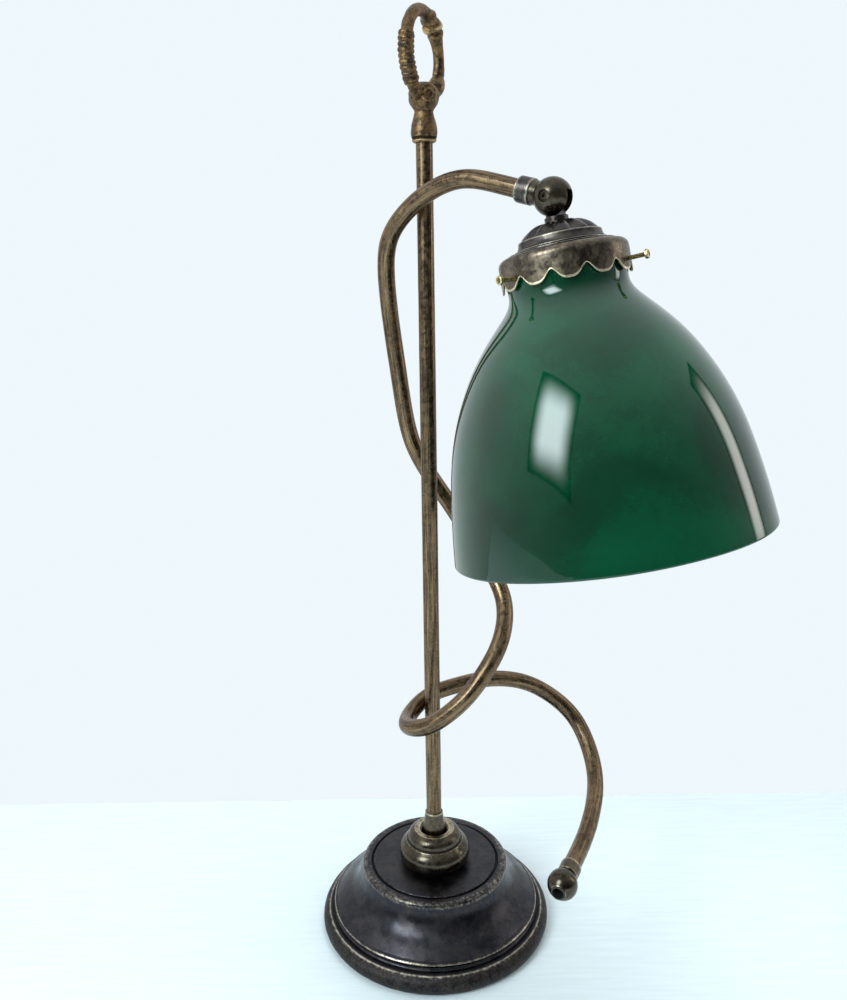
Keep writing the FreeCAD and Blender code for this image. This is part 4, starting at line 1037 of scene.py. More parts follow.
@dataclass
class Column:
    """Turning post with its ferrule and the bell-shaped collar on its top."""

    post_radius: float = 6.0
    bore_radius: float = 5.0
    low: float = 68.3
    post_top: float = 611.9
    ferrule_radius: float = 8.95
    ferrule_top: float = 92.7
    collar_low: float = 607.0
    collar_radius: float = 9.3
    neck_radius: float = 6.6

    def build(self, finishes: Finishes) -> None:
        """Make the post, the ferrule and the collar."""
        post = [Corner(self.bore_radius, self.low, 0.1), Corner(self.post_radius, self.low, 0.2),
                Corner(self.post_radius, self.post_top, 0.2), Corner(self.bore_radius, self.post_top, 0.1)]
        skin = roughened(turned(trace(post, closed=True, spacing=4.0), columns=56), 0.03, 14.0, 5)
        piece("post_finished", [skin], Body.COLUMN, ["post"], finishes["tube"])
        wide, top = self.ferrule_radius, self.ferrule_top
        sleeve = [Corner(5.7, self.low, 0.1), Corner(wide - 0.2, self.low, 0.4), Corner(wide, self.low + 11.0, 2.0),
                  *bow((wide - 0.2, self.low + 12.4), (wide - 0.9, self.low + 15.8), (7.3, top - 2.6)),
                  Corner(7.15, top - 0.8, 0.3, 0.6), Corner(6.2, top, 0.3, 0.3), Corner(5.7, top - 0.3, 0.1)]
        piece("ferrule_finished", [turned(trace(sleeve, closed=True), columns=96)], Body.COLUMN,
              ["ferrule"], finishes["turned"])
        low, size, neck = self.collar_low, self.collar_radius, self.neck_radius
        # Negative wear darkens the collar's groove as dirt and painted shade.
        collar = [Corner(5.7, low + 0.2, 0.1), Corner(size - 1.7, low + 0.1, 0.6, 0.5),
                  Corner(size - 0.45, low + 1.2, 0.8, 0.6), Corner(size - 0.9, low + 2.6, 0.6, -0.9),
                  Corner(size - 0.25, low + 3.6, 0.7, 0.4),
                  *bow((size - 0.1, low + 4.6), (size, low + 8.0), (size - 0.6, low + 12.6), 0.1),
                  *bow((size - 0.8, low + 13.2), (neck + 0.9, low + 16.6), (neck + 0.02, low + 20.9), 0.25),
                  Corner(3.0, low + 20.9, 0)]
        skin = roughened(turned(trace(collar, spread=1.3), columns=128), 0.12, 4.0, 6)
        piece("collar_finished", [skin], Body.COLUMN, ["finial_collar"], finishes["casting"])


@dataclass
class RingHandle:
    """Cast ring for lifting: bound with cord on one limb, knotted near the top, swollen low on the other limb."""

    centre_height: float = 665.0
    radius: float = 28.5
    bar: float = 4.2
    turn: float = 66.5
    ribs: int = 9
    rib_first: float = 166.0
    rib_pitch: float = 7.0
    knob_radius: float = 10.9
    samples: int = 720

    def path(self, angle: np.ndarray) -> np.ndarray:
        """Points of the ring's centreline: the centre plus the radius times cos along and sin up."""
        flat = math.radians(self.turn)
        along = np.array([math.cos(flat), math.sin(flat), 0.0])
        up = np.array([0.0, 0.0, 1.0])
        centre = np.array([0.0, 0.0, self.centre_height])
        return (centre + self.radius * (np.cos(angle)[:, None] * along + np.sin(angle)[:, None] * up)) * MM

    def girth(self, angle: np.ndarray, around: np.ndarray) -> np.ndarray:
        """Bar's radius over the way along and round it.

        Bell curves swell it at the knot and low on the far limb; the binding adds rounded ribs, one for
        each turn of cord; the knot's lobes wind round the bar as a cosine of both angles.

        Args:
            angle: Degrees round the ring, as a column.
            around: Angle round the bar, as a row.

        Returns:
            Radii in millimetres.
        """
        def swell(at: float, width: float, height: float) -> np.ndarray:
            """Bell curve of the angle."""
            away = (angle - at + 180) % 360 - 180
            return height * np.exp(-(away / width) ** 2)

        start, end = self.rib_first - 5.0, self.rib_first + self.rib_pitch * (self.ribs - 1) + 5.0
        bound = 1 / (1 + np.exp(-(angle - start) * 1.2)) / (1 + np.exp((angle - end) * 1.2))
        phase = (angle - self.rib_first) / self.rib_pitch + around / FULL_TURN
        rib = 0.45 + 0.95 * np.abs(np.cos(np.pi * phase)) ** 0.7
        knot = swell(53, 17, 1.9) * (1 + 0.34 * np.cos(3 * around + np.radians(angle) * 9))
        lobes = swell(38, 5, 0.7) + swell(52, 5.5, 1.0) + swell(68, 5, 0.9) - swell(45, 2.2, 0.9) - swell(60, 2.2, 1.0)
        far = swell(-36, 13, 2.1) - swell(-21, 3, 0.5) - swell(8, 12, 0.35)
        return self.bar + bound * rib + knot + lobes + far + 0.0 * around

    def build(self, finishes: Finishes) -> None:
        """Make the ring and the knotted head that holds it."""
        angle = np.linspace(0, 360, self.samples, endpoint=False)
        around = np.linspace(0, FULL_TURN, 48, endpoint=False)
        radius = self.girth(angle[:, None], around[None, :])
        # Swollen parts are rubbed bright; thinner parts between the ribs go negative and are darkened as dirt and
        # painted shade.
        worn = 0.5 * (radius - radius.mean()) / 2.0
        skin = roughened(carried(self.path(np.radians(angle)), radius, 48, True, worn), 0.14, 5.0, 7)
        piece("ring_handle_finished", [skin], Body.COLUMN, ["handle_ring"], finishes["casting"])
        low = Column.collar_low + 21.0
        middle = self.centre_height - self.radius + 0.8
        size = self.knob_radius
        knob = [Corner(3.0, low - 0.1, 0), Corner(Column.neck_radius, low - 0.1, 0.3, 0.3),
                Corner(7.2, low + 1.3, 0.5), *bow((8.4, low + 3.0), (size, middle), (1.2, middle + size - 0.7), 0.0, 18)]

        def knotted(radius: np.ndarray, height: np.ndarray, turn: np.ndarray) -> tuple[np.ndarray, np.ndarray]:
            """Shallow winding grooves: the radius loses a share that follows a cosine of turn and height."""
            fade = np.clip((height - low - 2) / 4, 0, 1)
            return radius * (1 - 0.055 * fade * (1 - np.abs(np.cos(2.5 * turn + height * 0.35)))), height

        skin = roughened(turned(trace(knob, spread=1.3), columns=160, shape=knotted), 0.20, 4.0, 8)
        eye = np.linspace(0, FULL_TURN, 72, endpoint=False)
        side = np.array([math.cos(math.radians(-70)), math.sin(math.radians(-70)), 0.0])
        across = np.cross(side, [0.0, 0.0, 1.0])
        seat = np.array([0.0, 0.0, middle + 1.0]) + side * (size - 1.6)
        loop = (seat + 4.3 * (np.cos(eye)[:, None] * across + np.sin(eye)[:, None] * np.array([0, 0, 1.0]))) * MM
        curl = roughened(carried(loop, 2.0, 24, True, 0.35), 0.12, 3.0, 9)
        piece("finial_head_finished", [skin, curl], Body.COLUMN, ["finial_head"], finishes["casting"])


@dataclass
class TubeArm:
    """Bent tube that winds round the post, with its couplings, end ball and inlet bush."""

    diameter: float = 12.7
    run_share: float = 0.49
    insertion: float = 9.0
    upper: tuple[float, float] = (14.0, 10.8)
    lower: tuple[float, float] = (9.0, 10.5)
    end_ball_radius: float = 10.6
    inlet_radius: float = 4.0
    route: tuple[tuple[float, float, float], ...] = (
        (80, -73, 563), (24.5, -32.7, 581.4), (-4, -12, 570), (-29, 1, 543), (-29, 18, 501), (-22, 21, 444),
        (-14, 28, 385), (16, 23, 341), (40, 11, 303), (58, -8, 273), (51, -37, 247), (25, -53, 214),
        (-2, -50, 191), (-20, -32, 181), (-20, -3, 176), (-3, 17, 185), (42, 28, 193), (80, 41, 184),
        (121, 41, 154), (133, 1, 117), (114, -50, 102), (88, -100, 98))

    def ends(self) -> tuple[Axes, Axes]:
        """Axes at the knuckle and at the end ball, z running towards the tube."""
        points = np.array(self.route, float)
        upper, lower = points[1] - points[0], points[-2] - points[-1]
        return Axes.along(points[0] * MM, upper), Axes.along(points[-1] * MM, lower)

    def build(self, finishes: Finishes) -> None:
        """Make the tube, the couplings, the ball and the bush."""
        points = np.array(self.route, float)
        first, last = self.ends()
        points[0] += first.z * (sum(self.upper) - self.insertion)
        points[-1] += last.z * (sum(self.lower) - self.insertion + 0.5)
        path = flowing(bend_points(points, self.run_share) * MM, 0.0022)
        skin = roughened(carried(path, self.diameter / 2 - 0.03, 48), 0.03, 16.0, 10)
        piece("arm_tube_finished", [skin], Body.ARM, ["arm_tube"], finishes["tube"])
        self.couplings(finishes, first, last)
        dressed({"arm_flex": "sheath"}, finishes)

    def couplings(self, finishes: Finishes, first: Axes, last: Axes) -> None:
        """Make the two couplings, the end ball and the bush."""
        near, length = self.upper
        far, wide, bore = near + length, 8.7, self.diameter / 2 - 0.2
        # Negative wear darkens the bores of both couplings as dirt and painted shade.
        sleeve = [Corner(4.5, near, 0.1), Corner(wide - 0.6, near, 0.5, 0.5), Corner(wide, near + 0.7, 0.5, 0.7),
                  Corner(wide, far - 0.5, 0.5, 0.8), Corner(wide - 0.7, far, 0.3, 0.7), Corner(bore, far, 0.2, -0.8),
                  Corner(bore, near + 1.0, 0.1), Corner(4.5, near + 1.0, 0.1)]
        skin = turned(trace(sleeve, closed=True, spread=0.7), first, 96)
        piece("arm_coupling_finished", [skin], Body.ARM, ["arm_coupling"], finishes["cap"])
        near, length = self.lower
        far, wide = near + length, 7.45
        ring = [Corner(5.3, near, 0.1), Corner(wide - 0.4, near, 0.4, 0.3), Corner(wide, near + 0.5, 0.4, 0.5),
                Corner(wide, far - 0.4, 0.4, 0.8), Corner(wide - 0.5, far, 0.3, 0.6), Corner(bore, far, 0.2, -0.8),
                Corner(bore, near + 1.0, 0.1), Corner(5.3, near + 1.0, 0.1)]
        skin = turned(trace(ring, closed=True, spread=0.7), last, 96)
        piece("end_coupling_finished", [skin], Body.ARM, ["end_coupling"], finishes["turned"])
        size, hole = self.end_ball_radius - 0.03, self.inlet_radius + 1.2
        face = -size + 1.5
        flat = math.sqrt(size ** 2 - near ** 2)
        rim = math.sqrt(size ** 2 - face ** 2)
        ball = [Corner(hole, face, 0.1), Corner(rim - 0.3, face, 0.4, 0.5),
                *bow((rim, face + 0.3), (size, 0.0), (flat, near - 0.1), 0.0, 24), Corner(hole, near - 0.1, 0.1)]
        skin = roughened(turned(trace(ball, closed=True), last, 96), 0.03, 5.0, 11)
        piece("end_ball_finished", [skin], Body.ARM, ["end_ball"], finishes["turned"])
        bush = [Corner(self.inlet_radius, face - 0.9, 0.3), Corner(hole - 0.1, face - 0.9, 0.3),
                Corner(hole - 0.02, near, 0.1), Corner(self.inlet_radius, near, 0.1)]
        piece("inlet_bush_finished", [turned(trace(bush, closed=True), last, 64)], Body.ARM,
              ["inlet_bush"], finishes["black"])


def head_axes() -> Axes:
    """Axes of the head: z down the shade's axis, x along the pin.

    The three screws slide square to the shade's axis, so the axis is the cross product of two of their
    directions, taken downwards.
    """
    tilt = joint("shade_tilt")
    first, second = (np.array(joint("screw_%d_travel" % n)["axis"], float) for n in (1, 2))
    down = np.cross(first, second)
    down *= -math.copysign(1.0, down[2])
    return Axes.along(tilt["pos_m"], down, tilt["axis"])


@dataclass
class Knuckle:
    """Slotted ball with its pin, and the flat tongue that turns in it."""

    def build(self, finishes: Finishes) -> None:
        """Make smooth copies of the ball, the tongue and the pin."""
        smoothed_copy("knuckle_ball", Body.ARM, finishes["turned"], 30.0, 0.25)
        smoothed_copy("pivot_pin", Body.ARM, finishes["turned"], 30.0)
        smoothed_copy("pivot_nut", Body.ARM, finishes["turned"], 30.0)
        smoothed_copy("knuckle_tongue", Body.HEAD, finishes["cap"], 30.0)


@dataclass
class ShadeHolder:
    """Fluted domed cap over a gallery whose wall ends in scallops."""

    cap_top: float = 16.0
    cap_radius: float = 28.4
    flutes: int = 11
    flute_depth: float = 2.3
    top: float = 33.6
    radius: float = 41.35
    depth: float = 21.6
    wall: float = 1.1
    shoulder: float = 5.2
    scallops: int = 12
    scallop_depth: float = 7.0

    def fluted(self, radius: np.ndarray, height: np.ndarray, turn: np.ndarray) -> tuple[np.ndarray, np.ndarray]:
        """Petals on the dome: points sink by the depth times one less the size of a half-turn cosine.

        The sinking fades in below the hub and out above the band, and follows the dome's slope.

        Args:
            radius: Radii of the plain outline.
            height: Heights of the plain outline.
            turn: Angles round the axis.

        Returns:
            Changed radii and heights.
        """
        lobe = np.abs(np.cos(self.flutes * turn / 2)) ** 0.8
        inner = np.clip((radius - 8.6) / 5.0, 0, 1)
        outer = np.clip((self.cap_top + 8.9 - height) / 1.6, 0, 1)
        fade = inner * inner * (3 - 2 * inner) * np.sqrt(outer)
        sink = self.flute_depth * fade * (1 - lobe)
        return radius - 0.55 * sink, height + 0.83 * sink

    def scalloped(self, radius: np.ndarray, height: np.ndarray, turn: np.ndarray) -> tuple[np.ndarray, np.ndarray]:
        """Round lobes on the wall's edge: its lower part rises by the depth times a squared sine between lobes.

        Args:
            radius: Radii of the plain outline.
            height: Heights of the plain outline.
            turn: Angles round the axis.

        Returns:
            Changed radii and heights.
        """
        step = FULL_TURN / self.scallops
        across = ((turn / step + 0.5) % 1.0 - 0.5) * 2
        rise = self.scallop_depth * np.sin(np.pi / 2 * np.abs(across) ** 1.6) ** 2
        low, start = self.top + self.depth, self.top + self.shoulder + 3.0
        share = np.clip((height - start) / (low - start), 0, 1.1)
        flare = 0.35 * share * (1 - across ** 2)
        return radius - 0.35 * np.clip(share, 0, 1) + flare, height - rise * share

    def build(self, finishes: Finishes) -> None:
        """Make the cap and the gallery."""
        axes = head_axes()
        top, wide = self.cap_top, self.cap_radius
        cap = [
            Corner(5.1, top + 1.2, 0.1), Corner(5.1, top, 0.1), Corner(8.2, top, 0.4),
            *bow((9.0, top + 0.2), (18.6, top + 2.7), (wide - 3.5, top + 8.4), 0.05, 22),
            # Negative wear darkens the grooves between the cap's bands as dirt and painted shade.
            Corner(wide - 3.2, top + 9.0, 0.3, -0.8), Corner(wide - 2.1, top + 9.2, 0.3, 0.8),
            *bow((wide - 1.9, top + 9.8), (wide - 1.4, top + 12.2), (wide - 0.3, top + 14.3), 0.0),
            Corner(wide - 0.1, top + 14.7, 0.2, -0.7), Corner(wide + 1.3, top + 14.9, 0.3, 0.8),
            Corner(wide + 1.1, top + 15.9, 0.3, -0.8), Corner(wide + 4.4, top + 16.3, 0.8, 0.0),
            Corner(wide + 6.3, self.top - 0.8, 0.3, 0.6), Corner(wide + 6.3, self.top - 0.02, 0.1, -0.8),
            Corner(8.0, self.top - 0.02, 0.1),
        ]
        skin = turned(trace(cap, closed=True, spread=0.7, spacing=1.2), axes, self.flutes * 28, self.fluted)
        piece("gallery_cap_finished", [roughened(skin, 0.03, 5.0, 12)], Body.HEAD, ["gallery_cap"],
              finishes["cap"])
        high, wide, low = self.top, self.radius, self.top + self.depth
        inner, bend = wide - self.wall, self.shoulder
        gallery = [
            Corner(5.1, high + self.wall, 0.1), Corner(5.1, high, 0.1), Corner(30.0, high, 0.3),
            Corner(wide - bend - 1.2, high, 0.3, -0.2), Corner(wide - bend - 0.6, high + 0.15, 0.3, 0.9),
            *bow((wide - bend, high + 0.25), (wide - bend * 0.29, high + bend * 0.33), (wide - 0.05, high + bend), 0.15),
            Corner(wide, high + bend + 2.0, 0.4), Corner(wide, low - 1.6, 0.3, 0.15),
            Corner(wide + 0.12, low - 0.9, 0.4, 1.0), Corner(wide, low - 0.05, 0.45, 1.3),
            # Negative wear darkens the gallery's inner wall as dirt and painted shade.
            Corner(inner, low - 0.05, 0.4, 0.8), Corner(inner, low - 1.5, 0.3, -0.4),
            Corner(inner, high + bend + 2.0, 0.4, -0.8),
            Corner(inner, high + bend, 2.0, -0.8), Corner(wide - bend, high + self.wall, 2.0, -0.8),
        ]
        skin = turned(trace(gallery, closed=True, spread=0.75, spacing=1.3), axes, self.scallops * 34, self.scalloped)
        piece("gallery_finished", [roughened(skin, 0.05, 9.0, 13)], Body.HEAD, ["gallery"],
              finishes["spun"])


@dataclass
class Thumbscrews:
    """Three small brass screws round the gallery."""

    count: int = 3
    tip: float = 38.5
    length: float = 12.5
    radius: float = 1.5
    head_radius: float = 2.98
    head_length: float = 2.6
    level: float = 48.2
    thread_pitch: float = 0.7

    def outline(self) -> list[Corner]:
        """Outline from the point to the head's face, with threads as small ridges."""
        threads = []
        for at in np.arange(self.tip + 1.4, self.tip + self.length - 0.6, self.thread_pitch):
            # Negative wear darkens the thread roots as dirt and painted shade.
            threads += [Corner(self.radius - 0.22, at, 0.05, -0.9), Corner(self.radius - 0.02, at + 0.35, 0.1, 0.35)]
        end = self.tip + self.length
        size, far = self.head_radius, end + self.head_length
        return [Corner(0.3, self.tip, 0), Corner(0.8, self.tip, 0.1), Corner(self.radius - 0.1, self.tip + 0.9, 0.2),
                *threads, Corner(self.radius - 0.1, end, 0.1, -0.9), Corner(size - 0.7, end, 0.3, 0.4),
                Corner(size, end + 0.5, 0.3, 0.9), Corner(size, far - 0.5, 0.3, 0.9), Corner(size - 0.5, far, 0.3, 0.9),
                Corner(1.7, far, 0.2, 0.4), Corner(1.2, far - 0.5, 0.3, -0.8), Corner(0.3, far - 0.5, 0, -0.6)]

    def build(self, finishes: Finishes) -> None:
        """Make the screws, each along its own joint."""
        head = head_axes()
        for number in range(1, self.count + 1):
            outward = np.array(joint("screw_%d_travel" % number)["axis"], float)
            axes = Axes.along(head.origin + head.z * self.level * MM, outward, head.z)

            def knurled(radius: np.ndarray, height: np.ndarray, turn: np.ndarray) -> tuple[np.ndarray, np.ndarray]:
                """Fine knurling on the head's side: the radius dips with the size of a cosine of the turn."""
                side = np.clip((radius - self.head_radius + 0.25) / 0.25, 0, 1)
                return radius - 0.14 * side * np.abs(np.cos(9 * turn)), height

            skin = turned(trace(self.outline(), spread=0.3, spacing=0.8, steps=4), axes, 72, knurled)
            piece("screw_%d_finished" % number, [skin], "screw_%d" % number,
                  ["gallery_screw_%d" % number], finishes["screw"])


@dataclass
class GlassShade:
    """Bell-shaped cased glass: green outside, opal inside, with a lip at the neck and a fire-rounded rim."""

    top: float = 38.5
    low: float = 222.0
    neck_radius: float = 38.2
    lip: float = 1.2
    green: float = 2.6
    opal: float = 1.1

    def face(self, offset: float) -> list[tuple[float, float]]:
        """Radii and heights down one face of the glass, moved in by an offset.

        A natural cubic runs through the neck, the swell of the shoulder and the rim.

        Args:
            offset: Distance inside the outer face.

        Returns:
            Points from neck to rim.
        """
        marks = np.array([(38.2, 56.0), (38.25, 59.2), (39.8, 63.8), (45.8, 71.6), (56.2, 83.0), (65.9, 95.2),
                          (77.0, 113.5), (85.9, 133.2), (92.6, 155.0), (96.9, 177.2), (100.2, 199.5), (102.5, 221.0)])
        line = flowing(np.column_stack([marks, np.zeros(len(marks))]), 2.4)[:, :2]
        slope = np.gradient(line, axis=0)
        slope /= np.linalg.norm(slope, axis=1, keepdims=True)
        inward = np.stack([-slope[:, 1], slope[:, 0]], -1)
        return [tuple(point) for point in line + inward * offset]

    def build(self, finishes: Finishes) -> None:
        """Make the two layers."""
        axes = head_axes()
        neck, skinned = self.neck_radius, self.neck_radius - self.green
        outer, between, inner = self.face(0.0), self.face(self.green), self.face(self.green + self.opal)
        low = self.low - 0.1
        green = [Corner(skinned, self.top + 0.1, 0.2), Corner(neck + self.lip, self.top + 0.1, 0.8),
                 Corner(neck + self.lip, self.top + 3.0, 0.8), Corner(neck, self.top + 4.6, 1.0),
                 *(Corner(r, h, 0) for r, h in outer[:-1]), Corner(outer[-1][0], low, 1.6),
                 Corner(between[-1][0], low, 0.3), *(Corner(r, h, 0) for r, h in between[-2::-1])]
        skin = roughened(turned(trace(green, closed=True), axes, 240), 0.10, 60.0, 14)
        piece("shade_glass_finished", [skin], Body.HEAD, ["shade_glass"], finishes["shade"])
        shy = 0.05
        opal = [Corner(skinned - self.opal, self.top + 0.1, 0.2), Corner(skinned - shy, self.top + 0.1, 0.3),
                *(Corner(r - shy, h, 0) for r, h in between[:-1]), Corner(between[-1][0] - shy, low, 0.2),
                Corner(inner[-1][0], low, 0.6), *(Corner(r, h, 0) for r, h in inner[-2::-1])]
        skin = roughened(turned(trace(opal, closed=True), axes, 240), 0.10, 60.0, 14)
        piece("shade_lining_finished", [skin], Body.HEAD, ["shade_lining"], finishes["lining"])


@dataclass
class Lampholder:
    """Brass lampholder and the bulb in it."""

    radius: float = 19.0
    cap_top: float = 34.75
    barrel_top: float = 48.7
    barrel_length: float = 34.0
    bulb_radius: float = 30.0
    bulb_centre: float = 128.0
    bulb_neck: float = 13.4

    def build(self, finishes: Finishes) -> None:
        """Make the holder's cap and barrel, the bulb and its screw cap."""
        axes = head_axes()
        size, top, mid = self.radius, self.cap_top, self.barrel_top
        cap = [Corner(5.1, top, 0.1), Corner(9.0, top, 0.4), *bow((9.6, top + 0.3), (15.6, top + 3.0), (18.9, top + 9.6)),
               Corner(size, mid, 0.2, 0.5), Corner(size - 1, mid, 0.2), *bow((17.9, top + 10.0), (14.6, top + 4.2), (9.0, top + 1.2)),
               Corner(5.1, top + 1.2, 0.1)]
        # Negative wear darkens the barrel's groove as dirt and painted shade.
        barrel = [Corner(size - 1, mid + 0.05, 0.1), Corner(size, mid + 0.05, 0.2, 0.6), Corner(size, mid + 3.0, 0.2),
                  Corner(size - 0.5, mid + 3.6, 0.3, -0.8), Corner(size, mid + 4.2, 0.3, 0.5),
                  Corner(size, mid + self.barrel_length - 1.0, 0.2), Corner(size, mid + self.barrel_length, 0.4, 0.8),
                  Corner(size - 1, mid + self.barrel_length, 0.3, 0.5)]
        piece("lampholder_cap_finished", [turned(trace(cap, closed=True), axes, 96)], Body.HEAD,
              ["lampholder_cap"], finishes["brass"])
        piece("lampholder_barrel_finished", [turned(trace(barrel, closed=True), axes, 96)], Body.HEAD,
              ["lampholder_barrel"], finishes["brass"])
        seat = mid + 11.4
        threads = []
        for at in np.arange(seat + 6.5, seat + 24.0, 3.4):
            threads += [Corner(12.2, at, 0.8), Corner(12.95, at + 1.7, 0.9, 0.3)]
        screw = [Corner(0.5, seat + 0.02, 0), Corner(3.4, seat + 0.02, 0.5), Corner(5.0, seat + 1.6, 0.3),
                 Corner(11.0, seat + 4.0, 0.5), *threads, Corner(12.9, seat + 25.8, 0.3), Corner(6.0, seat + 25.9, 0)]
        piece("bulb_cap_finished", [turned(trace(screw), axes, 96)], Body.HEAD, ["bulb_cap"],
              finishes["brass"])
        low, centre, wide, neck = seat + 26.0, self.bulb_centre, self.bulb_radius - 0.02, self.bulb_neck
        join = centre - wide * 0.6
        glass = [Corner(6.0, low, 0), Corner(neck, low, 0.4), Corner(neck, low + 4.0, 1.0),
                 *bow((neck + 0.2, low + 4.6), (neck + 3.2, (low + join) / 2 + 4), (wide * 0.8, join), 0.0, 8)[:-1],
                 *bow((wide * 0.8, join), (wide, centre), (0.6, centre + wide - 0.01), 0.0, 30)]
        piece("bulb_glass_finished", [turned(trace(glass), axes, 120)], Body.HEAD, ["bulb_glass"],
              finishes["bulb"])
        dressed({"nipple": "steel", "nipple_nut": "steel", "lampholder_insulator": "black", "screw_shell": "brass",
                 "centre_contact": "brass", "head_leads": "black"}, finishes)


# ============================================================ studio
@dataclass
class Softbox:
    """Large soft light: a plane whose glow fades towards its edges."""

    name: str
    centre: tuple[float, float, float]
    target: tuple[float, float, float]
    width: float
    height: float
    strength: float
    colour: tuple[float, float, float] = (1.0, 1.0, 1.0)
    fade: float = 0.35
    glints: bool = True

    def build(self) -> None:
        """Make the plane, unseen by the camera itself and, if it makes no glints, by shiny surfaces."""
        mesh = bpy.data.meshes.new(self.name)
        axes = Axes.along(self.centre, np.array(self.target) - np.array(self.centre))
        half = np.array([[-1, -1], [1, -1], [1, 1], [-1, 1]]) * np.array([self.height, self.width]) / 2
        corners = axes.origin + half[:, :1] * axes.x + half[:, 1:] * axes.y
        mesh.from_pydata(corners.tolist(), [], [(0, 1, 2, 3)])
        chart = mesh.uv_layers.new(name="Chart")
        chart.data.foreach_set("uv", np.array([[0, 0], [1, 0], [1, 1], [0, 1]], np.float32).ravel())
        material = bpy.data.materials.new(self.name)
        material.use_nodes = True
        material.node_tree.nodes.clear()
        graph = Graph(material.node_tree)
        place = graph.add("ShaderNodeSeparateXYZ", {0: graph.add("ShaderNodeUVMap", uv_map="Chart").outputs["UV"]})
        glow: bpy.types.NodeSocket | float = self.strength
        for axis in ("X", "Y"):
            edge = graph.math("SUBTRACT", 0.5, graph.math("ABSOLUTE", graph.math("SUBTRACT", place.outputs[axis], 0.5)))
            glow = graph.math("MULTIPLY", glow, graph.ramp(edge, 0.0, self.fade))
        shine = graph.add("ShaderNodeEmission", {"Color": (*self.colour, 1.0), "Strength": glow})
        dark = graph.add("ShaderNodeEmission", {"Strength": 0.0})
        side = graph.add("ShaderNodeNewGeometry").outputs["Backfacing"]
        mix = graph.add("ShaderNodeMixShader", {0: side, 1: shine.outputs[0], 2: dark.outputs[0]})
        graph.add("ShaderNodeOutputMaterial", {"Surface": mix.outputs[0]})
        mesh.materials.append(material)
        light = bpy.data.objects.new(self.name, mesh)
        bpy.context.scene.collection.objects.link(light)
        light.visible_camera = False
        light.visible_glossy = self.glints
        light.visible_shadow = False


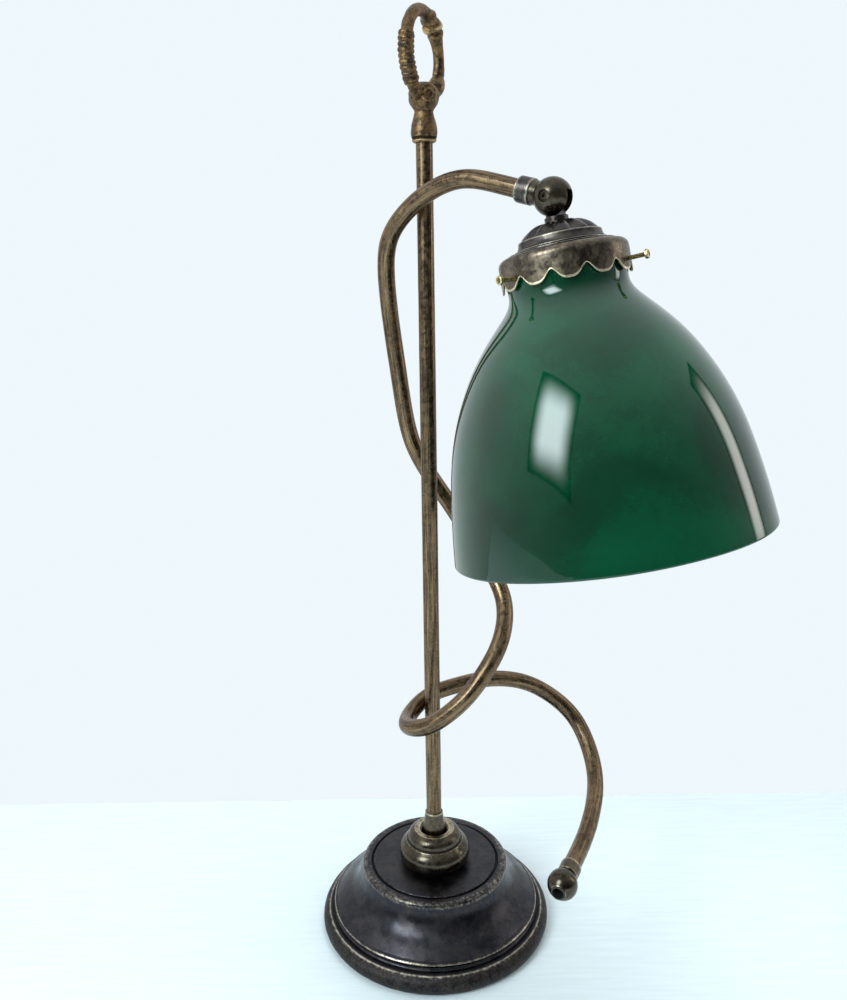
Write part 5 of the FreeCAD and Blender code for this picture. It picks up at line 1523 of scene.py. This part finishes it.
@dataclass
class Studio:
    """Camera, pale floor, pale surroundings and soft lights."""

    eye: tuple[float, float, float] = (-0.00386, -0.65914, 0.51370)
    pitch: float = 10.568
    roll: float = -0.901
    lens: float = 32.4
    shift: float = -0.05365
    floor_back: float = 0.165
    floor_half: float = 3.0
    sky: tuple[float, float, float] = (0.86, 0.935, 0.975)
    ground: tuple[float, float, float] = (0.82, 0.91, 0.94)

    def camera(self) -> None:
        """Place the camera: looking along +Y, pitched down, and rolled a little."""
        down, roll = math.radians(self.pitch), math.radians(self.roll)
        forward = Vector((0.0, math.cos(down), -math.sin(down)))
        right = Vector((1.0, 0.0, 0.0))
        up = right.cross(forward)
        across = right * math.cos(roll) + up * math.sin(roll)
        upward = up * math.cos(roll) - right * math.sin(roll)
        data = bpy.data.cameras.new("camera")
        data.sensor_width = 36.0
        data.lens = self.lens
        data.shift_y = self.shift
        data.clip_start = 0.01
        data.clip_end = 30.0
        made = bpy.data.objects.new("camera", data)
        bpy.context.scene.collection.objects.link(made)
        turn = Matrix((across, upward, -forward)).transposed()
        made.matrix_world = Matrix.Translation(self.eye) @ turn.to_4x4()
        bpy.context.scene.camera = made

    def floor(self) -> None:
        """Lay a pale board with a straight back edge."""
        mesh = bpy.data.meshes.new("floor")
        wide, front, back = self.floor_half, -self.floor_half, self.floor_back
        top, under = 0.0, -0.03
        corners = [(x, y, z) for z in (under, top) for y in (front, back) for x in (-wide, wide)]
        mesh.from_pydata(corners, [], [(0, 2, 3, 1), (4, 5, 7, 6), (0, 1, 5, 4), (2, 6, 7, 3), (0, 4, 6, 2), (1, 3, 7, 5)])
        material, graph, shader = new_material("pale_board")
        place = place_of(graph)
        stretched = graph.scaled(place, (18.0, 260.0, 18.0))
        strip = graph.noise(stretched, 1.0, 4.0, 0.6)
        colour = graph.blend(graph.ramp(strip, 0.35, 0.65), tuple(0.95 * c for c in self.ground), self.ground)
        graph.tree.links.new(colour, shader.inputs["Base Color"])
        shader.inputs["Roughness"].default_value = 0.8
        mesh.materials.append(material)
        made = bpy.data.objects.new("floor", mesh)
        bpy.context.scene.collection.objects.link(made)

    def surroundings(self) -> None:
        """Pale world for the camera, a gradient for reflections and an even fill for the rest."""
        world = bpy.data.worlds.new("world")
        bpy.context.scene.world = world
        world.use_nodes = True
        world.node_tree.nodes.clear()
        graph = Graph(world.node_tree)
        direction = graph.add("ShaderNodeTexCoord").outputs["Generated"]
        lean = graph.add("ShaderNodeVectorMath", {0: direction, 1: (-0.25, 0.75, 0.60)}, operation="DOT_PRODUCT")
        seen = graph.blend(graph.ramp(lean.outputs["Value"], -0.75, 0.85), (0.055, 0.060, 0.065), self.sky)
        path = graph.add("ShaderNodeLightPath").outputs
        shown = graph.add("ShaderNodeBackground", {"Color": (*self.sky, 1.0), "Strength": 1.0})
        mirrored = graph.add("ShaderNodeBackground", {"Color": seen, "Strength": 0.9})
        fill = graph.add("ShaderNodeBackground", {"Color": (*self.sky, 1.0), "Strength": 0.75})
        shine = graph.add("ShaderNodeMixShader", {0: path["Is Glossy Ray"], 1: fill.outputs[0], 2: mirrored.outputs[0]})
        clear = graph.math("MAXIMUM", path["Is Camera Ray"], path["Is Transmission Ray"])
        final = graph.add("ShaderNodeMixShader", {0: clear, 1: shine.outputs[0], 2: shown.outputs[0]})
        graph.add("ShaderNodeOutputWorld", {"Surface": final.outputs[0]})

    def build(self) -> None:
        """Set up the whole studio."""
        self.camera()
        self.floor()
        self.surroundings()
        Softbox("softbox_left", (-1.00, -1.05, 1.25), (0.10, -0.09, 0.44), 1.0, 1.3, 12.0, (0.84, 0.97, 1.0)).build()
        Softbox("softbox_top", (0.3, 0.1, 1.9), (0.05, -0.05, 0.3), 1.5, 1.2, 6.0, (0.95, 0.98, 1.0), glints=False).build()
        Softbox("softbox_right", (1.5, 0.15, 0.7), (0.08, -0.08, 0.42), 0.4, 1.3, 3.5, (1.0, 0.98, 0.94)).build()
        bpy.context.scene.view_settings.view_transform = "Standard"


def main() -> None:
    """Build every piece in order, then the studio."""
    logging.basicConfig(level=logging.INFO, format="%(message)s")
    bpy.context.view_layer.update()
    finishes = Finishes()
    for part in (LampBase(), Column(), RingHandle(), TubeArm(), Knuckle(), ShadeHolder(), Thumbscrews(), GlassShade(),
                 Lampholder()):
        part.build(finishes)
        LOG.info("%s done", type(part).__name__)
    Studio().build()


if __name__ == "__main__":
    main()
